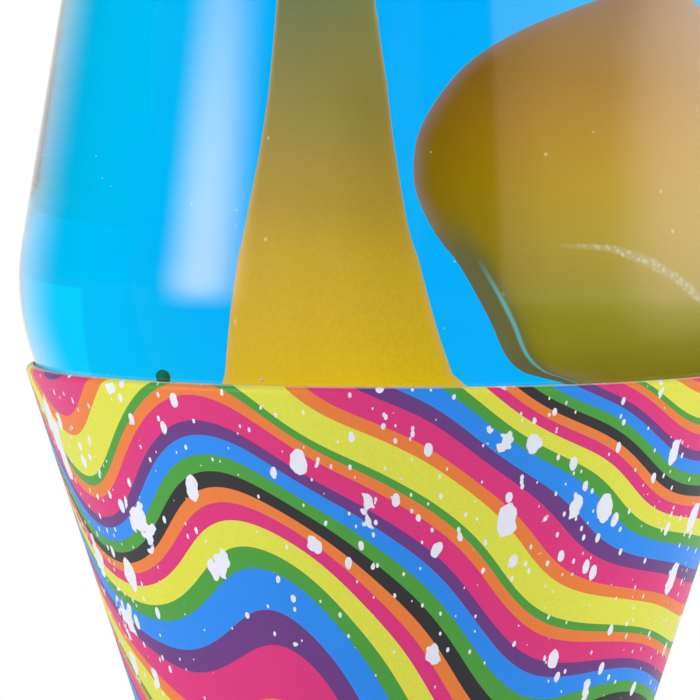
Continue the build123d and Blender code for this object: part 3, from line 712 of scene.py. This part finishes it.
liner = plain_finish("soft liner", srgb(206, 204, 196), 0.6, 500.0, 0.02)
dye_green = plain_finish("dark green dye", srgb(24, 126, 100), 0.12, 300.0, 0.01, 0.8)
air = plain_finish("air in the liquid", srgb(210, 244, 255), 0.2, 300.0, 0.01, 0.8)
glass = clear_glass("globe glass", 1.5, (1.0, 0.62, 0.4, 1.0))
wet_glass = clear_glass("wetted globe glass", 1.5, (0.07, 0.07, 0.07, 1.0))
thin_glass = clear_glass("thin bulb glass", 1.45, (1.0, 1.0, 1.0, 1.0))
liquid_blue = dyed_liquid()


def make_column_wax():
    """Wax of the pool and the column: bright yellow low down and olive high up, the brightness low down
    partly painted light from the bulb below.
    """
    colours = screen_stops(
        (0.0, 220, 186, 0),
        (0.14, 220, 184, 2),
        (0.26, 214, 178, 26),
        (0.34, 200, 165, 48),
        (0.44, 170, 142, 58),
        (0.56, 138, 126, 68),
        (0.7, 102, 112, 76),
        (1.0, 84, 104, 78),
    )
    # Painted shading across the column from left to right; the next line is the peach colour of its
    # painted rim light
    side_shading = linear_stops((0.0, 1.0, 1.0, 1.5), (0.4, 1.06, 1.06, 1.1), (1.0, 1.4, 1.42, 0.9))
    edge = srgb(222, 176, 132)
    heights = (118.0, 218.0)
    sides = (-18.0, 6.0)
    material, tree, tone = soft_wax("column wax", heights, colours, sides, side_shading, edge, 0.4)[:3]
    painted_wax_glow(tree, tone)
    return material


def make_blob_wax():
    """Wax of the floating drop, with a painted highlight streak low on its left, painted shade beside
    it and a beaded painted reflection across it.
    """
    colours = screen_stops(
        (0.0, 120, 118, 26),
        (0.1, 129, 124, 28),
        (0.24, 143, 137, 38),
        (0.4, 162, 144, 34),
        (0.55, 171, 139, 16),
        (0.68, 167, 126, 24),
        (0.82, 150, 110, 36),
        (1.0, 138, 108, 78),
    )
    # Painted shading across the drop: dark on its left, lighter on its right
    side_shading = linear_stops(
        (0.0, 0.42, 0.4, 0.5),
        (0.28, 0.66, 0.64, 0.5),
        (0.55, 1.0, 1.0, 1.0),
        (1.0, 1.15, 1.15, 1.2),
    )
    # Lavender colour of the drop's painted rim light
    edge = srgb(140, 128, 150)
    heights = (140.0, 188.0)
    sides = (2.0, 28.0)
    made = soft_wax("floating wax", heights, colours, sides, side_shading, edge, 0.5)
    material, tree, tone, (point, along, back, height) = made
    # Painted light: paler low on the drop's right side, where light falls on it
    pale = ranged(tree, along, 22.5, 31.0, 0.0, 0.3, True)
    pale = product(tree, pale, ranged(tree, height, 146.0, 157.0, 0.0, 1.0, True))
    tone = blend_colour(tree, pale, tone, srgb(224, 190, 150))
    # Painted highlight: a cyan streak low on the drop's left, where light is refracted onto the wax
    above = difference(tree, height, HIGHLIGHT_LOW)
    middle = maths(tree, "MULTIPLY_ADD", above, HIGHLIGHT_LEAN, HIGHLIGHT_MIDDLE)
    ahead = difference(tree, along, middle)
    out = difference(tree, BLOB_Y, back)
    turn = maths(tree, "ARCTAN2", ahead, out)
    waver = difference(tree, noise(tree, point, 90.0), 0.5)
    turn = maths(tree, "MULTIPLY_ADD", waver, 0.16, turn)
    off = maths(tree, "ABSOLUTE", difference(tree, turn, HIGHLIGHT_TURN))
    painted_highlight = ranged(tree, off, 0.008, 0.045, 0.85, 0.0, True)
    low_down = ranged(tree, height, HIGHLIGHT_HIGH - 5.0, HIGHLIGHT_HIGH, 1.0, 0.0, True)
    painted_highlight = product(tree, painted_highlight, low_down)
    # Painted shade: darker olive beside the painted highlight streak
    shade = ranged(tree, turn, HIGHLIGHT_TURN - 0.04, HIGHLIGHT_TURN + 0.22, 0.75, 0.0, True)
    low_down = ranged(tree, height, HIGHLIGHT_HIGH - 2.0, HIGHLIGHT_HIGH + 6.0, 1.0, 0.0, True)
    shade = product(tree, shade, low_down)
    tone = blend_colour(tree, shade, tone, srgb(86, 94, 62))
    tone = blend_colour(tree, painted_highlight, tone, srgb(92, 176, 190))
    # Painted reflection: a pale beaded streak across the drop
    past = maths(tree, "MAXIMUM", difference(tree, along, GLINT_TURN_X), 0.0)
    drop = product(tree, maths(tree, "POWER", past, 2.0), GLINT_BEND)
    drop = maths(tree, "MULTIPLY_ADD", along, GLINT_SLOPE, drop)
    painted_glint = difference(tree, GLINT_Z, drop)
    level = maths(tree, "MULTIPLY_ADD", waver, 1.2, height)
    off = maths(tree, "ABSOLUTE", difference(tree, level, painted_glint))
    grain = ranged(tree, cells(tree, point, 1500.0)["Distance"], 0.25, 0.5, 1.0, 0.35)
    off = product(tree, off, ranged(tree, along, 18.0, 27.0, 1.6, 0.75))
    painted_glint = product(tree, ranged(tree, off, 0.2, 0.7, 0.6, 0.0, True), grain)
    painted_glint = product(tree, painted_glint, ranged(tree, along, 15.5, 24.0, 0.0, 1.0, True))
    tone = blend_colour(tree, painted_glint, tone, srgb(204, 210, 188))
    painted_wax_glow(tree, tone)
    return material


column_wax = make_column_wax()
blob_wax = make_blob_wax()


# Base: two spun cones with printed film over them
UPPER_SIDE = ((WAIST_R, WAIST_Z), (RIM_R, RIM_Z))
LOWER_SIDE = ((FOOT_R, FOOT_Z), (WAIST_R, WAIST_Z))
RIM_INNER_R = RIM_R - RIM_BEAD
RIM_UNDER_Z = RIM_Z - RIM_DEPTH
RIM_WALL_Z = RIM_UNDER_Z - RIM_STEP


def side_r(z, side, off=0.0):
    """Radius at a height on a cone's side that is moved outwards, square to itself."""
    (low_r, low_z), (high_r, high_z) = side
    rise = high_z - low_z
    return low_r + ((high_r - low_r) * (z - low_z) + off * hypot(high_r - low_r, rise)) / rise


def make_upper_cone():
    """Upper cone with its rolled rim and its flange at the waist."""
    outer = rounded(
        [
            (WAIST_HOLE_R, WAIST_Z),
            (WAIST_R, WAIST_Z),
            (RIM_R, RIM_Z),
            (RIM_INNER_R, RIM_Z),
            (RIM_INNER_R, RIM_UNDER_Z),
            (side_r(RIM_WALL_Z, UPPER_SIDE, -SHEET), RIM_WALL_Z),
            (side_r(WAIST_Z + SHEET, UPPER_SIDE, -SHEET), WAIST_Z + SHEET),
            (WAIST_HOLE_R, WAIST_Z + SHEET),
            (WAIST_HOLE_R, WAIST_Z),
        ],
        [0.4, RIM_ROUND, RIM_ROUND, 0.3, 0.4, 0.6, 0.2],
        15.0,
    )
    return lathe("upper_base_cone", outer)


def make_lower_cone():
    """Lower cone with its flange at the waist and its turned-in foot."""
    outer = rounded(
        [
            (WAIST_HOLE_R, WAIST_Z),
            (WAIST_HOLE_R, WAIST_Z - SHEET),
            (side_r(WAIST_Z - SHEET, LOWER_SIDE, -SHEET), WAIST_Z - SHEET),
            (side_r(TURN_IN_Z + SHEET, LOWER_SIDE, -SHEET), TURN_IN_Z + SHEET),
            (TURN_IN_R, TURN_IN_Z + SHEET),
            (TURN_IN_R, TURN_IN_Z),
            (side_r(TURN_IN_Z, LOWER_SIDE, -SHEET), TURN_IN_Z),
            (side_r(FOOT_Z, LOWER_SIDE, -SHEET), FOOT_Z),
            (FOOT_R, FOOT_Z),
            (WAIST_R, WAIST_Z),
            (WAIST_HOLE_R, WAIST_Z),
        ],
        [0.2, 0.6, 0.4, 0.2, 0.2, 0.4, 0.3, 0.3, 0.4],
        15.0,
    )
    return lathe("lower_base_cone", outer)


def make_upper_film():
    """Film on the upper cone, turned over the rounded rim."""
    low_z = WAIST_Z + FILM_EDGE
    layers = []
    for off in (FILM_GLUE + FILM, FILM_GLUE):
        corners = [
            (side_r(low_z, UPPER_SIDE, off), low_z),
            (side_r(RIM_Z, UPPER_SIDE, off), RIM_Z + off),
            (RIM_INNER_R + FILM_STOP, RIM_Z + off),
        ]
        layers.append(rounded(corners, [RIM_ROUND + off], 10.0))
    skin, under = layers
    return lathe("upper_printed_film", [*skin, *reversed(under), skin[0]], 256)


def film_strip(low_z, high_z, side):
    """Section of a film that lies on a cone's side."""
    low_glued, low_printed, high_glued, high_printed = [
        (side_r(z, side, off), z) for z in (low_z, high_z) for off in (FILM_GLUE, FILM_GLUE + FILM)
    ]
    return [low_glued, low_printed, high_printed, high_glued, low_glued]


def make_lower_film():
    """Film on the lower cone, short of its edges."""
    outline = film_strip(FOOT_Z + FILM_EDGE, WAIST_Z - FILM_EDGE, LOWER_SIDE)
    return lathe("lower_printed_film", outline, 256)


# Globe: bottle, liquid and wax
def below_swell_r(z, inset):
    """Radius of the lower side of the bottle, moved inwards by an inset."""
    return GLOBE_RIM_R - inset * sqrt(1 + SLOPE_DOWN**2) + SLOPE_DOWN * (z - RIM_Z)


def above_swell_r(z, inset):
    """Radius of the upper side of the bottle, moved inwards by an inset."""
    return TAPER_R - inset * sqrt(1 + SLOPE_UP**2) - SLOPE_UP * (z - TAPER_Z)


def globe_side(inset, floor_z, top_z):
    """Outline of the bottle from the middle of its floor to its top."""
    spread = above_swell_r(RIM_Z, inset) - below_swell_r(RIM_Z, inset)
    swell_z = RIM_Z + spread / (SLOPE_DOWN + SLOPE_UP)
    neck_r = NECK_R - inset
    return rounded(
        [
            (0.0, floor_z),
            (below_swell_r(floor_z, inset), floor_z),
            (below_swell_r(swell_z, inset), swell_z),
            (above_swell_r(SHOULDER_Z, inset), SHOULDER_Z),
            (neck_r, NECK_Z),
            (neck_r, top_z),
        ],
        [HEEL - inset, SWELL - inset, SHOULDER_FILLET - inset, NECK_FILLET + inset],
        2.0,
    )


def make_globe():
    """Glass bottle: outer side, lip, inner side and a shallow punt under the floor."""
    outer = globe_side(0.0, GLOBE_Z, GLOBE_TOP_Z - FINISH_HEIGHT)
    lip = rounded(
        [
            (NECK_R, GLOBE_TOP_Z - FINISH_HEIGHT),
            (FINISH_R, GLOBE_TOP_Z - FINISH_HEIGHT),
            (FINISH_R, GLOBE_TOP_Z),
            (NECK_R - GLASS, GLOBE_TOP_Z),
        ],
        [0.8, FINISH_FILLET],
        12.0,
    )
    inner = globe_side(GLASS, GLOBE_Z + GLASS_FLOOR, GLOBE_TOP_Z - LIP_ROUND)
    curve = (PUNT_R**2 + PUNT**2) / (2 * PUNT)
    punt = []
    for k in range(13):
        r = PUNT_R * k / 12
        punt.append((r, GLOBE_Z + PUNT - curve + sqrt(curve**2 - r**2)))
    outline = [*punt, *outer[1:-1], *lip, *reversed(inner)]
    return lathe("glass_globe", outline, 224, angle=50.0)


def wet_inside(globe):
    """Give the wall that the liquid touches the faint gloss that glass has under a liquid."""
    globe.data.materials.append(wet_glass)
    for face in globe.data.polygons:
        if face.normal.x * face.center.x + face.normal.y * face.center.y < 0:
            face.material_index = 1


def pool_dome(lift, edge_r, parts=16):
    """Domed surface of the pool, from the axis outwards."""
    curve = (TAPER_R**2 + POOL_MOUND**2) / (2 * POOL_MOUND)
    dome = []
    for k in range(parts + 1):
        r = edge_r * k / parts
        dome.append((r, POOL_Z + POOL_MOUND + lift - curve + sqrt(curve**2 - r**2)))
    return dome


def make_liquid():
    """Liquid: all of the bottle's inside above the pool, with a slight rise at the glass."""
    inset = GLASS - LIQUID_LAP
    wall = globe_side(inset, GLOBE_Z + GLASS_FLOOR, LIQUID_TOP_Z + 0.5)
    side = [point for point in wall if point[1] > POOL_Z + 1.2]
    edge_r = below_swell_r(POOL_Z + 1.0, inset)
    top_r = NECK_R - inset
    top = [(r, LIQUID_TOP_Z - dip) for r, dip in ((top_r - 1.2, 0.1), (top_r - 3.5, 0.5), (0.0, 0.6))]
    outline = [*pool_dome(WAX_GAP, edge_r), *side, *top]
    return lathe("blue_liquid", outline, 224, angle=60.0)


# Sections of the rising column: height, left edge, right edge and how far back its middle is
COLUMN = [
    (122.0, -31.0, 21.5, 5.5),
    (126.5, -26.0, 17.6, 5.0),
    (131.0, -21.5, 14.2, 4.6),
    (136.0, -18.9, 12.0, 4.3),
    (141.0, -16.8, 9.6, 4.0),
    (145.2, -15.7, 6.5, 4.0),
    (147.2, -15.35, 5.0, 4.0),
    (151.0, -14.9, 3.4, 4.0),
    (157.0, -13.9, 1.6, 4.0),
    (163.0, -13.0, 0.7, 4.0),
    (170.0, -12.0, -0.1, 4.0),
    (177.0, -11.3, -0.7, 4.0),
    (189.0, -10.5, -1.8, 4.0),
    (203.0, -10.0, -1.9, 4.0),
    (218.0, -10.8, -0.8, 3.8),
    (231.0, -13.2, 1.6, 3.4),
    (239.0, -13.4, 1.8, 3.2),
    (244.0, -11.2, -0.4, 3.1),
    (246.6, -7.2, -4.4, 3.0),
]


def make_risen_wax():
    """Wax pool on the floor and the column that rises out of it, round the coil's channel."""
    inset = GLASS + WAX_GAP
    wall = globe_side(inset, GLOBE_Z + GLASS_FLOOR + WAX_GAP, LIQUID_TOP_Z)
    side = [point for point in wall if point[1] < POOL_Z - 0.2]
    edge_r = below_swell_r(POOL_Z, inset)
    outline = [*side, *reversed(pool_dome(0.0, edge_r))]
    pool = lathe("risen_wax", outline, 160, angle=50.0)
    rings = []
    for z, left, right, y in flowing(COLUMN, 4):
        rings.append((((left + right) / 2, y, z), (right - left) / 2))
    column = stack("column", rings, 112)
    combine(pool, column, "UNION")
    deselect()
    bpy.ops.mesh.primitive_torus_add(
        major_segments=96,
        minor_segments=24,
        major_radius=COIL_RING_R * MM,
        minor_radius=(COIL_R + COIL_WIRE_R + COIL_ROOM) * MM,
        location=(0, 0, COIL_Z * MM),
    )
    channel = named("channel")
    return combine(pool, channel, "DIFFERENCE")


# Sections of the floating wax: height, left edge and radius
BLOB = [
    (141.7, 25.2, 1.5),
    (142.0, 23.4, 3.4),
    (142.8, 21.0, 6.0),
    (144.0, 18.4, 8.8),
    (145.1, 16.1, 10.9),
    (146.2, 13.0, 12.9),
    (147.2, 11.2, 14.0),
    (148.4, 10.3, 14.9),
    (150.5, 9.2, 15.6),
    (153.5, 7.3, 16.4),
    (158.5, 4.0, 17.9),
    (164.0, 2.0, 18.4),
    (168.5, 1.9, 18.1),
    (172.0, 2.6, 17.4),
    (176.0, 4.5, 16.1),
    (180.0, 7.4, 14.3),
    (183.6, 12.0, 11.4),
    (186.6, 17.8, 7.2),
    (188.4, 22.4, 3.6),
    (189.0, 24.6, 1.4),
]


def make_floating_wax():
    """Free drop of wax, broad above and drawn in below, leaning a little."""
    rings = []
    for z, left, radius in flowing(BLOB, 4):
        rings.append(((left + radius, BLOB_Y, z), radius))
    return stack("floating_wax", rings, 128)


def make_coil():
    """Spring of wire bent round into a ring and open at one place."""
    curve = bpy.data.curves.new("coil", "CURVE")
    curve.dimensions = "3D"
    curve.bevel_depth = COIL_WIRE_R * MM
    curve.bevel_resolution = 2
    curve.use_fill_caps = True
    line = curve.splines.new("POLY")
    steps = 16 * COIL_TURNS
    line.points.add(steps)
    for k, point in enumerate(line.points):
        ring = COIL_SWEEP * k / steps
        wind = 2 * pi * COIL_TURNS * k / steps
        reach = COIL_RING_R + COIL_R * cos(wind)
        height = COIL_Z + COIL_R * sin(wind)
        point.co = (*(Vector((reach * cos(ring), reach * sin(ring), height)) * MM), 1.0)
    piece = bpy.data.objects.new("wax_coil", curve)
    bpy.context.scene.collection.objects.link(piece)
    pick(piece)
    bpy.ops.object.convert(target="MESH")
    return settle(bpy.context.object, 50.0)


def globe_inner_r(z):
    """Radius of the bottle's inside at a height on its side."""
    return min(below_swell_r(z, GLASS), above_swell_r(z, GLASS))


def make_bead():
    """Drop of dye that clings to the inside of the glass just above the rim."""
    deselect()
    bpy.ops.mesh.primitive_uv_sphere_add(segments=40, ring_count=24, radius=1.0 * MM)
    bead = named("dye_bead")
    reach = below_swell_r(BEAD_Z, GLASS) - 0.55
    bead.scale = (1.08, 0.7, 0.88)
    bead.rotation_euler = (0.0, 0.0, BEAD_TURN)
    bead.location = Vector((reach * sin(BEAD_TURN), -reach * cos(BEAD_TURN), BEAD_Z)) * MM
    bpy.ops.object.transform_apply(location=True, rotation=True, scale=True)
    bpy.ops.object.mode_set(mode="EDIT")
    bpy.ops.mesh.select_all(action="DESELECT")
    bpy.ops.object.mode_set(mode="OBJECT")
    for vertex in bead.data.vertices:
        vertex.select = vertex.co.z / MM < BEAD_Z - 0.35
    bpy.ops.object.mode_set(mode="EDIT")
    bpy.ops.transform.resize(value=(1.12, 1.12, 0.82))
    bpy.ops.mesh.select_all(action="DESELECT")
    return settle(bead, 60.0)


# Bubbles: bearing from the front, height, distance from the glass and size
BUBBLES = [
    (-1.07, 169.5, 3.0, 0.11),
    (-1.03, 166.9, 3.4, 0.09),
    (-0.97, 166.0, 3.0, 0.09),
    (-0.62, 164.4, 2.0, 0.13),
    (-0.47, 162.0, 2.0, 0.11),
    (-0.39, 144.2, 1.0, 0.22),
    (-0.44, 144.9, 1.0, 0.12),
    (0.1, 171.0, 2.0, 0.09),
    (0.16, 158.0, 1.6, 0.1),
    (0.13, 150.4, 1.8, 0.08),
    (2.2, 166.0, 2.0, 0.12),
    (2.6, 181.0, 3.0, 0.1),
    (3.4, 158.0, 2.0, 0.11),
    (4.0, 172.0, 2.6, 0.1),
]


def make_bubbles():
    """Small air bubbles in the liquid, near the glass."""
    bubbles = []
    for turn, z, inward, size in BUBBLES:
        deselect()
        bpy.ops.mesh.primitive_ico_sphere_add(subdivisions=2, radius=size * MM)
        bubble = named("bubble")
        reach = globe_inner_r(z) - inward
        bubble.location = Vector((reach * sin(turn), -reach * cos(turn), z)) * MM
        bubble.scale = (1.0, 1.0, 0.86)
        bubbles.append(bubble)
    deselect()
    for bubble in bubbles:
        bubble.select_set(True)
    bpy.context.view_layer.objects.active = bubbles[0]
    bpy.ops.object.join()
    return settle(named("air_bubbles"), 60.0)


# Cap over the neck
CAP_SIDE = ((high("top_cap").x, CAP_Z), (CAP_TOP_R, CAP_TOP_Z))


def make_cap():
    """Spun cap, closed and rounded at the top."""
    under_z = CAP_TOP_Z - SHEET
    outer = rounded([*CAP_SIDE, (0.0, CAP_TOP_Z)], [CAP_CORNER], 8.0)
    corner = (side_r(under_z, CAP_SIDE, -SHEET), under_z)
    hem = (side_r(CAP_Z, CAP_SIDE, -SHEET), CAP_Z)
    inner = rounded([(0.0, under_z), corner, hem], [CAP_CORNER - SHEET], 8.0)
    return lathe("spun_cap", [*reversed(outer), *reversed(inner)], 160)


def make_cap_film():
    """Film on the cap, short of its hem and its rounded top."""
    outline = film_strip(CAP_Z + CAP_FILM_EDGE, CAP_TOP_Z - CAP_CORNER, CAP_SIDE)
    return lathe("cap_printed_film", outline, 192)


def dress(piece, material, body, slot_name, *replaced):
    """Give a piece its finish and its body, and hide the CAD nodes that it stands for."""
    piece.data.materials.clear()
    piece.data.materials.append(material)
    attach(piece, body)
    if replaced:
        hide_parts(*replaced)


dress(make_upper_cone(), aluminium, "base", "spun_aluminium", "upper_cone")
dress(make_lower_cone(), aluminium, "base", "spun_aluminium", "lower_cone")
upper_print = printed_film("film on upper cone", 0.1, RIM_Z + FILM_GLUE + FILM)
lower_print = printed_film("film on lower cone", 0.35, WAIST_Z)
cap_print = printed_film("film on cap", 0.2, CAP_TOP_Z)
dress(make_upper_film(), upper_print, "base", "printed_film", "upper_wrap")
dress(make_lower_film(), lower_print, "base", "printed_film", "lower_wrap")
globe = make_globe()
dress(globe, glass, "globe", "globe_glass", "globe_bottle")
wet_inside(globe)
dress(make_liquid(), liquid_blue, "globe", "blue_liquid", "liquid")
dress(make_risen_wax(), column_wax, "globe", "yellow_wax", "wax_column")
dress(make_floating_wax(), blob_wax, "free_wax", "yellow_wax", "wax_blob")
dress(make_coil(), spring_wire, "globe", "coil_steel", "heat_coil")
dress(make_bead(), dye_green, "globe", "blue_liquid")
dress(make_bubbles(), air, "globe", "blue_liquid")
dress(make_cap(), aluminium, "cap", "spun_aluminium", "top_cap")
dress(make_cap_film(), cap_print, "cap", "printed_film", "cap_wrap")

for names, material in (
    (("holder_bracket", "base_plate", "plate_screws", "holder_screws"), steel),
    (("waist_rivets",), rivet_metal),
    (("screw_shell", "centre_contact", "terminal_screws"), brass),
    (("lampholder",), ceramic),
    (("bulb_glass",), thin_glass),
    (("bulb_cap",), bulb_metal),
    (("bulb_tip_contact",), solder),
    (("bulb_insulator",), vitrite),
    (("filament",), filament_metal),
    (("rubber_feet",), rubber),
    (("cord_bush",), nylon),
    (("crown_cap",), tinplate),
    (("crown_liner",), liner),
):
    for name in names:
        nodes[name].data.materials.clear()
        nodes[name].data.materials.append(material)


# Stage, in metres: camera, white surroundings, floor and soft lights
VIEW_CENTRE = Vector((-0.00559, 0.0, 0.1449))
VIEW_RANGE = 1.0
VIEW_TILT = radians(3.59)
VIEW_LENS = 411.0

# What gloss mirrors: where white starts and is full, behind the lamp and at its right
WHITE_BEHIND = (0.56, 0.9)
WHITE_RIGHT = (0.5, 0.56)
RIGHT_STRENGTH = 1.2

# Panel and lights: how far off they stand, the panel's soft shares, and the lights' size and power
PANEL_RANGE = 0.45
PANEL_SOFT = (0.5, 0.38)
LAMP_RANGE = 1.2
LAMP_HEIGHT = 0.5
LAMP_SIZE = 0.7
LAMP_POWER = 9.0


def make_camera():
    """Long lens at the photograph's height and frame."""
    camera = bpy.data.cameras.new("camera")
    camera.lens = VIEW_LENS
    camera.sensor_width = 36.0
    camera.clip_start = 0.05
    camera.clip_end = 60.0
    holder = bpy.data.objects.new("camera", camera)
    bpy.context.scene.collection.objects.link(holder)
    back = Vector((0.0, -cos(VIEW_TILT), sin(VIEW_TILT)))
    holder.location = VIEW_CENTRE + back * VIEW_RANGE
    holder.rotation_euler = (-back).to_track_quat("-Z", "Y").to_euler()
    bpy.context.scene.camera = holder


def make_world():
    """White behind the lamp for the eye and through glass, grey for other light, dark gaps in gloss."""
    world = bpy.data.worlds.new("studio")
    bpy.context.scene.world = world
    world.use_nodes = True
    tree = world.node_tree
    background = tree.nodes["Background"]
    path = tree.nodes.new("ShaderNodeLightPath")
    x, y, z = parts_of(tree, coordinates(tree, "Generated"))
    behind = ranged(tree, y, *WHITE_BEHIND, 0.0, 1.0, True)
    near = ranged(tree, x, 0.13, 0.16, 0.07, 0.0, True)
    near = product(tree, near, ranged(tree, x, -0.6, -0.4, 0.0, 1.0))
    to_right = ranged(tree, x, *WHITE_RIGHT, 0.0, RIGHT_STRENGTH, True)
    above = ranged(tree, z, -0.4, -0.05, 0.0, 1.0, True)
    front = product(tree, maths(tree, "ADD", near, to_right), above)
    mirror = maths(tree, "MAXIMUM", behind, front)
    softer = difference(tree, 1.0, path.outputs["Is Singular Ray"])
    gloss = maths(tree, "MAXIMUM", mirror, product(tree, softer, 0.5))
    straight = through_glass(tree, path)
    plain = maths(tree, "MAXIMUM", path.outputs["Is Camera Ray"], straight)
    strength = product(tree, path.outputs["Is Glossy Ray"], gloss)
    diffuse = product(tree, path.outputs["Is Diffuse Ray"], 0.52)
    strength = maths(tree, "MAXIMUM", strength, diffuse)
    strength = maths(tree, "MAXIMUM", strength, plain)
    tree.links.new(strength, background.inputs["Strength"])
    background.inputs["Color"].default_value = (1.0, 1.0, 1.0, 1.0)


def make_floor():
    """Pale floor that holds the shadow near the lamp, turns white further off and is dim in glass."""
    deselect()
    bpy.ops.mesh.primitive_circle_add(vertices=96, radius=24.0, fill_type="TRIFAN")
    floor = named("floor")
    material, tree, shader = new_material("pale floor")
    x, y = parts_of(tree, coordinates(tree))[:2]
    radius = from_axis(tree, x, y)
    far = ranged(tree, radius, 0.12, 0.6, 0.0, 1.0, True)
    path = tree.nodes.new("ShaderNodeLightPath")
    straight = through_glass(tree, path)
    seen = maths(tree, "MAXIMUM", path.outputs["Is Camera Ray"], straight)
    seen = maths(tree, "MAXIMUM", seen, path.outputs["Is Glossy Ray"])
    sharp = path.outputs["Is Singular Ray"]
    for plain in (straight, path.outputs["Is Camera Ray"]):
        sharp = product(tree, sharp, difference(tree, 1.0, plain))
    share = maths(tree, "MAXIMUM", product(tree, seen, far), sharp)
    white = tree.nodes.new("ShaderNodeEmission")
    back = ranged(tree, maths(tree, "DIVIDE", y, radius), *WHITE_BEHIND, 0.03, 1.0, True)
    right = ranged(tree, maths(tree, "DIVIDE", x, radius), *WHITE_RIGHT, 0.0, RIGHT_STRENGTH, True)
    right = product(tree, right, ranged(tree, radius, 0.3, 2.2, 0.0, 1.0, True))
    missing = difference(tree, 1.0, maths(tree, "MAXIMUM", back, right))
    strength = difference(tree, 1.0, product(tree, sharp, missing))
    tree.links.new(strength, white.inputs["Strength"])
    mix = tree.nodes.new("ShaderNodeMixShader")
    shader.inputs["Base Color"].default_value = (0.9, 0.9, 0.9, 1.0)
    shader.inputs["Roughness"].default_value = 0.6
    tree.links.new(share, mix.inputs[0])
    tree.links.new(shader.outputs[0], mix.inputs[1])
    tree.links.new(white.outputs[0], mix.inputs[2])
    tree.links.new(mix.outputs[0], tree.nodes["Material Output"].inputs["Surface"])
    floor.data.materials.append(material)


def make_panel(name, bearing, height, size, strength):
    """Glowing panel with soft edges beside the lamp, seen in its gloss alone."""
    deselect()
    bpy.ops.mesh.primitive_plane_add(size=1.0)
    panel = named(name)
    back = Vector((sin(bearing), -cos(bearing), 0.0))
    panel.location = back * PANEL_RANGE + Vector((0, 0, height))
    panel.scale = (*size, 1.0)
    panel.rotation_euler = (-back).to_track_quat("Z", "Y").to_euler()
    material, tree = new_material(name)[:2]
    light = strength
    for part, soft in zip(parts_of(tree, coordinates(tree)), PANEL_SOFT):
        edge = difference(tree, 0.5, maths(tree, "ABSOLUTE", part))
        light = product(tree, ranged(tree, edge, 0.0, soft, 0.0, 1.0, True), light)
    geometry = tree.nodes.new("ShaderNodeNewGeometry")
    front = difference(tree, 1.0, geometry.outputs["Backfacing"])
    glow = tree.nodes.new("ShaderNodeEmission")
    tree.links.new(product(tree, light, front), glow.inputs["Strength"])
    tree.links.new(glow.outputs[0], tree.nodes["Material Output"].inputs["Surface"])
    panel.data.materials.append(material)
    panel.visible_camera = False
    panel.visible_transmission = False
    panel.visible_diffuse = False
    panel.visible_shadow = False


def make_lamp(name, bearing):
    """Soft square light on the object that doesn't show in its gloss."""
    light = bpy.data.lights.new(name, "AREA")
    light.size = LAMP_SIZE
    light.energy = LAMP_POWER
    holder = bpy.data.objects.new(name, light)
    bpy.context.scene.collection.objects.link(holder)
    holder.location = (LAMP_RANGE * sin(bearing), -LAMP_RANGE * cos(bearing), LAMP_HEIGHT)
    aim = VIEW_CENTRE - holder.location
    holder.rotation_euler = aim.to_track_quat("-Z", "Y").to_euler()
    holder.visible_camera = False
    holder.visible_glossy = False
    holder.visible_transmission = False


make_camera()
make_world()
make_floor()
make_panel("left_panel", radians(-58.2), 0.2125, (0.275, 0.265), 10.5)
make_lamp("left_lamp", radians(-62.0))
make_lamp("right_lamp", radians(75.0))
scene = bpy.context.scene
scene.view_settings.view_transform = "Standard"
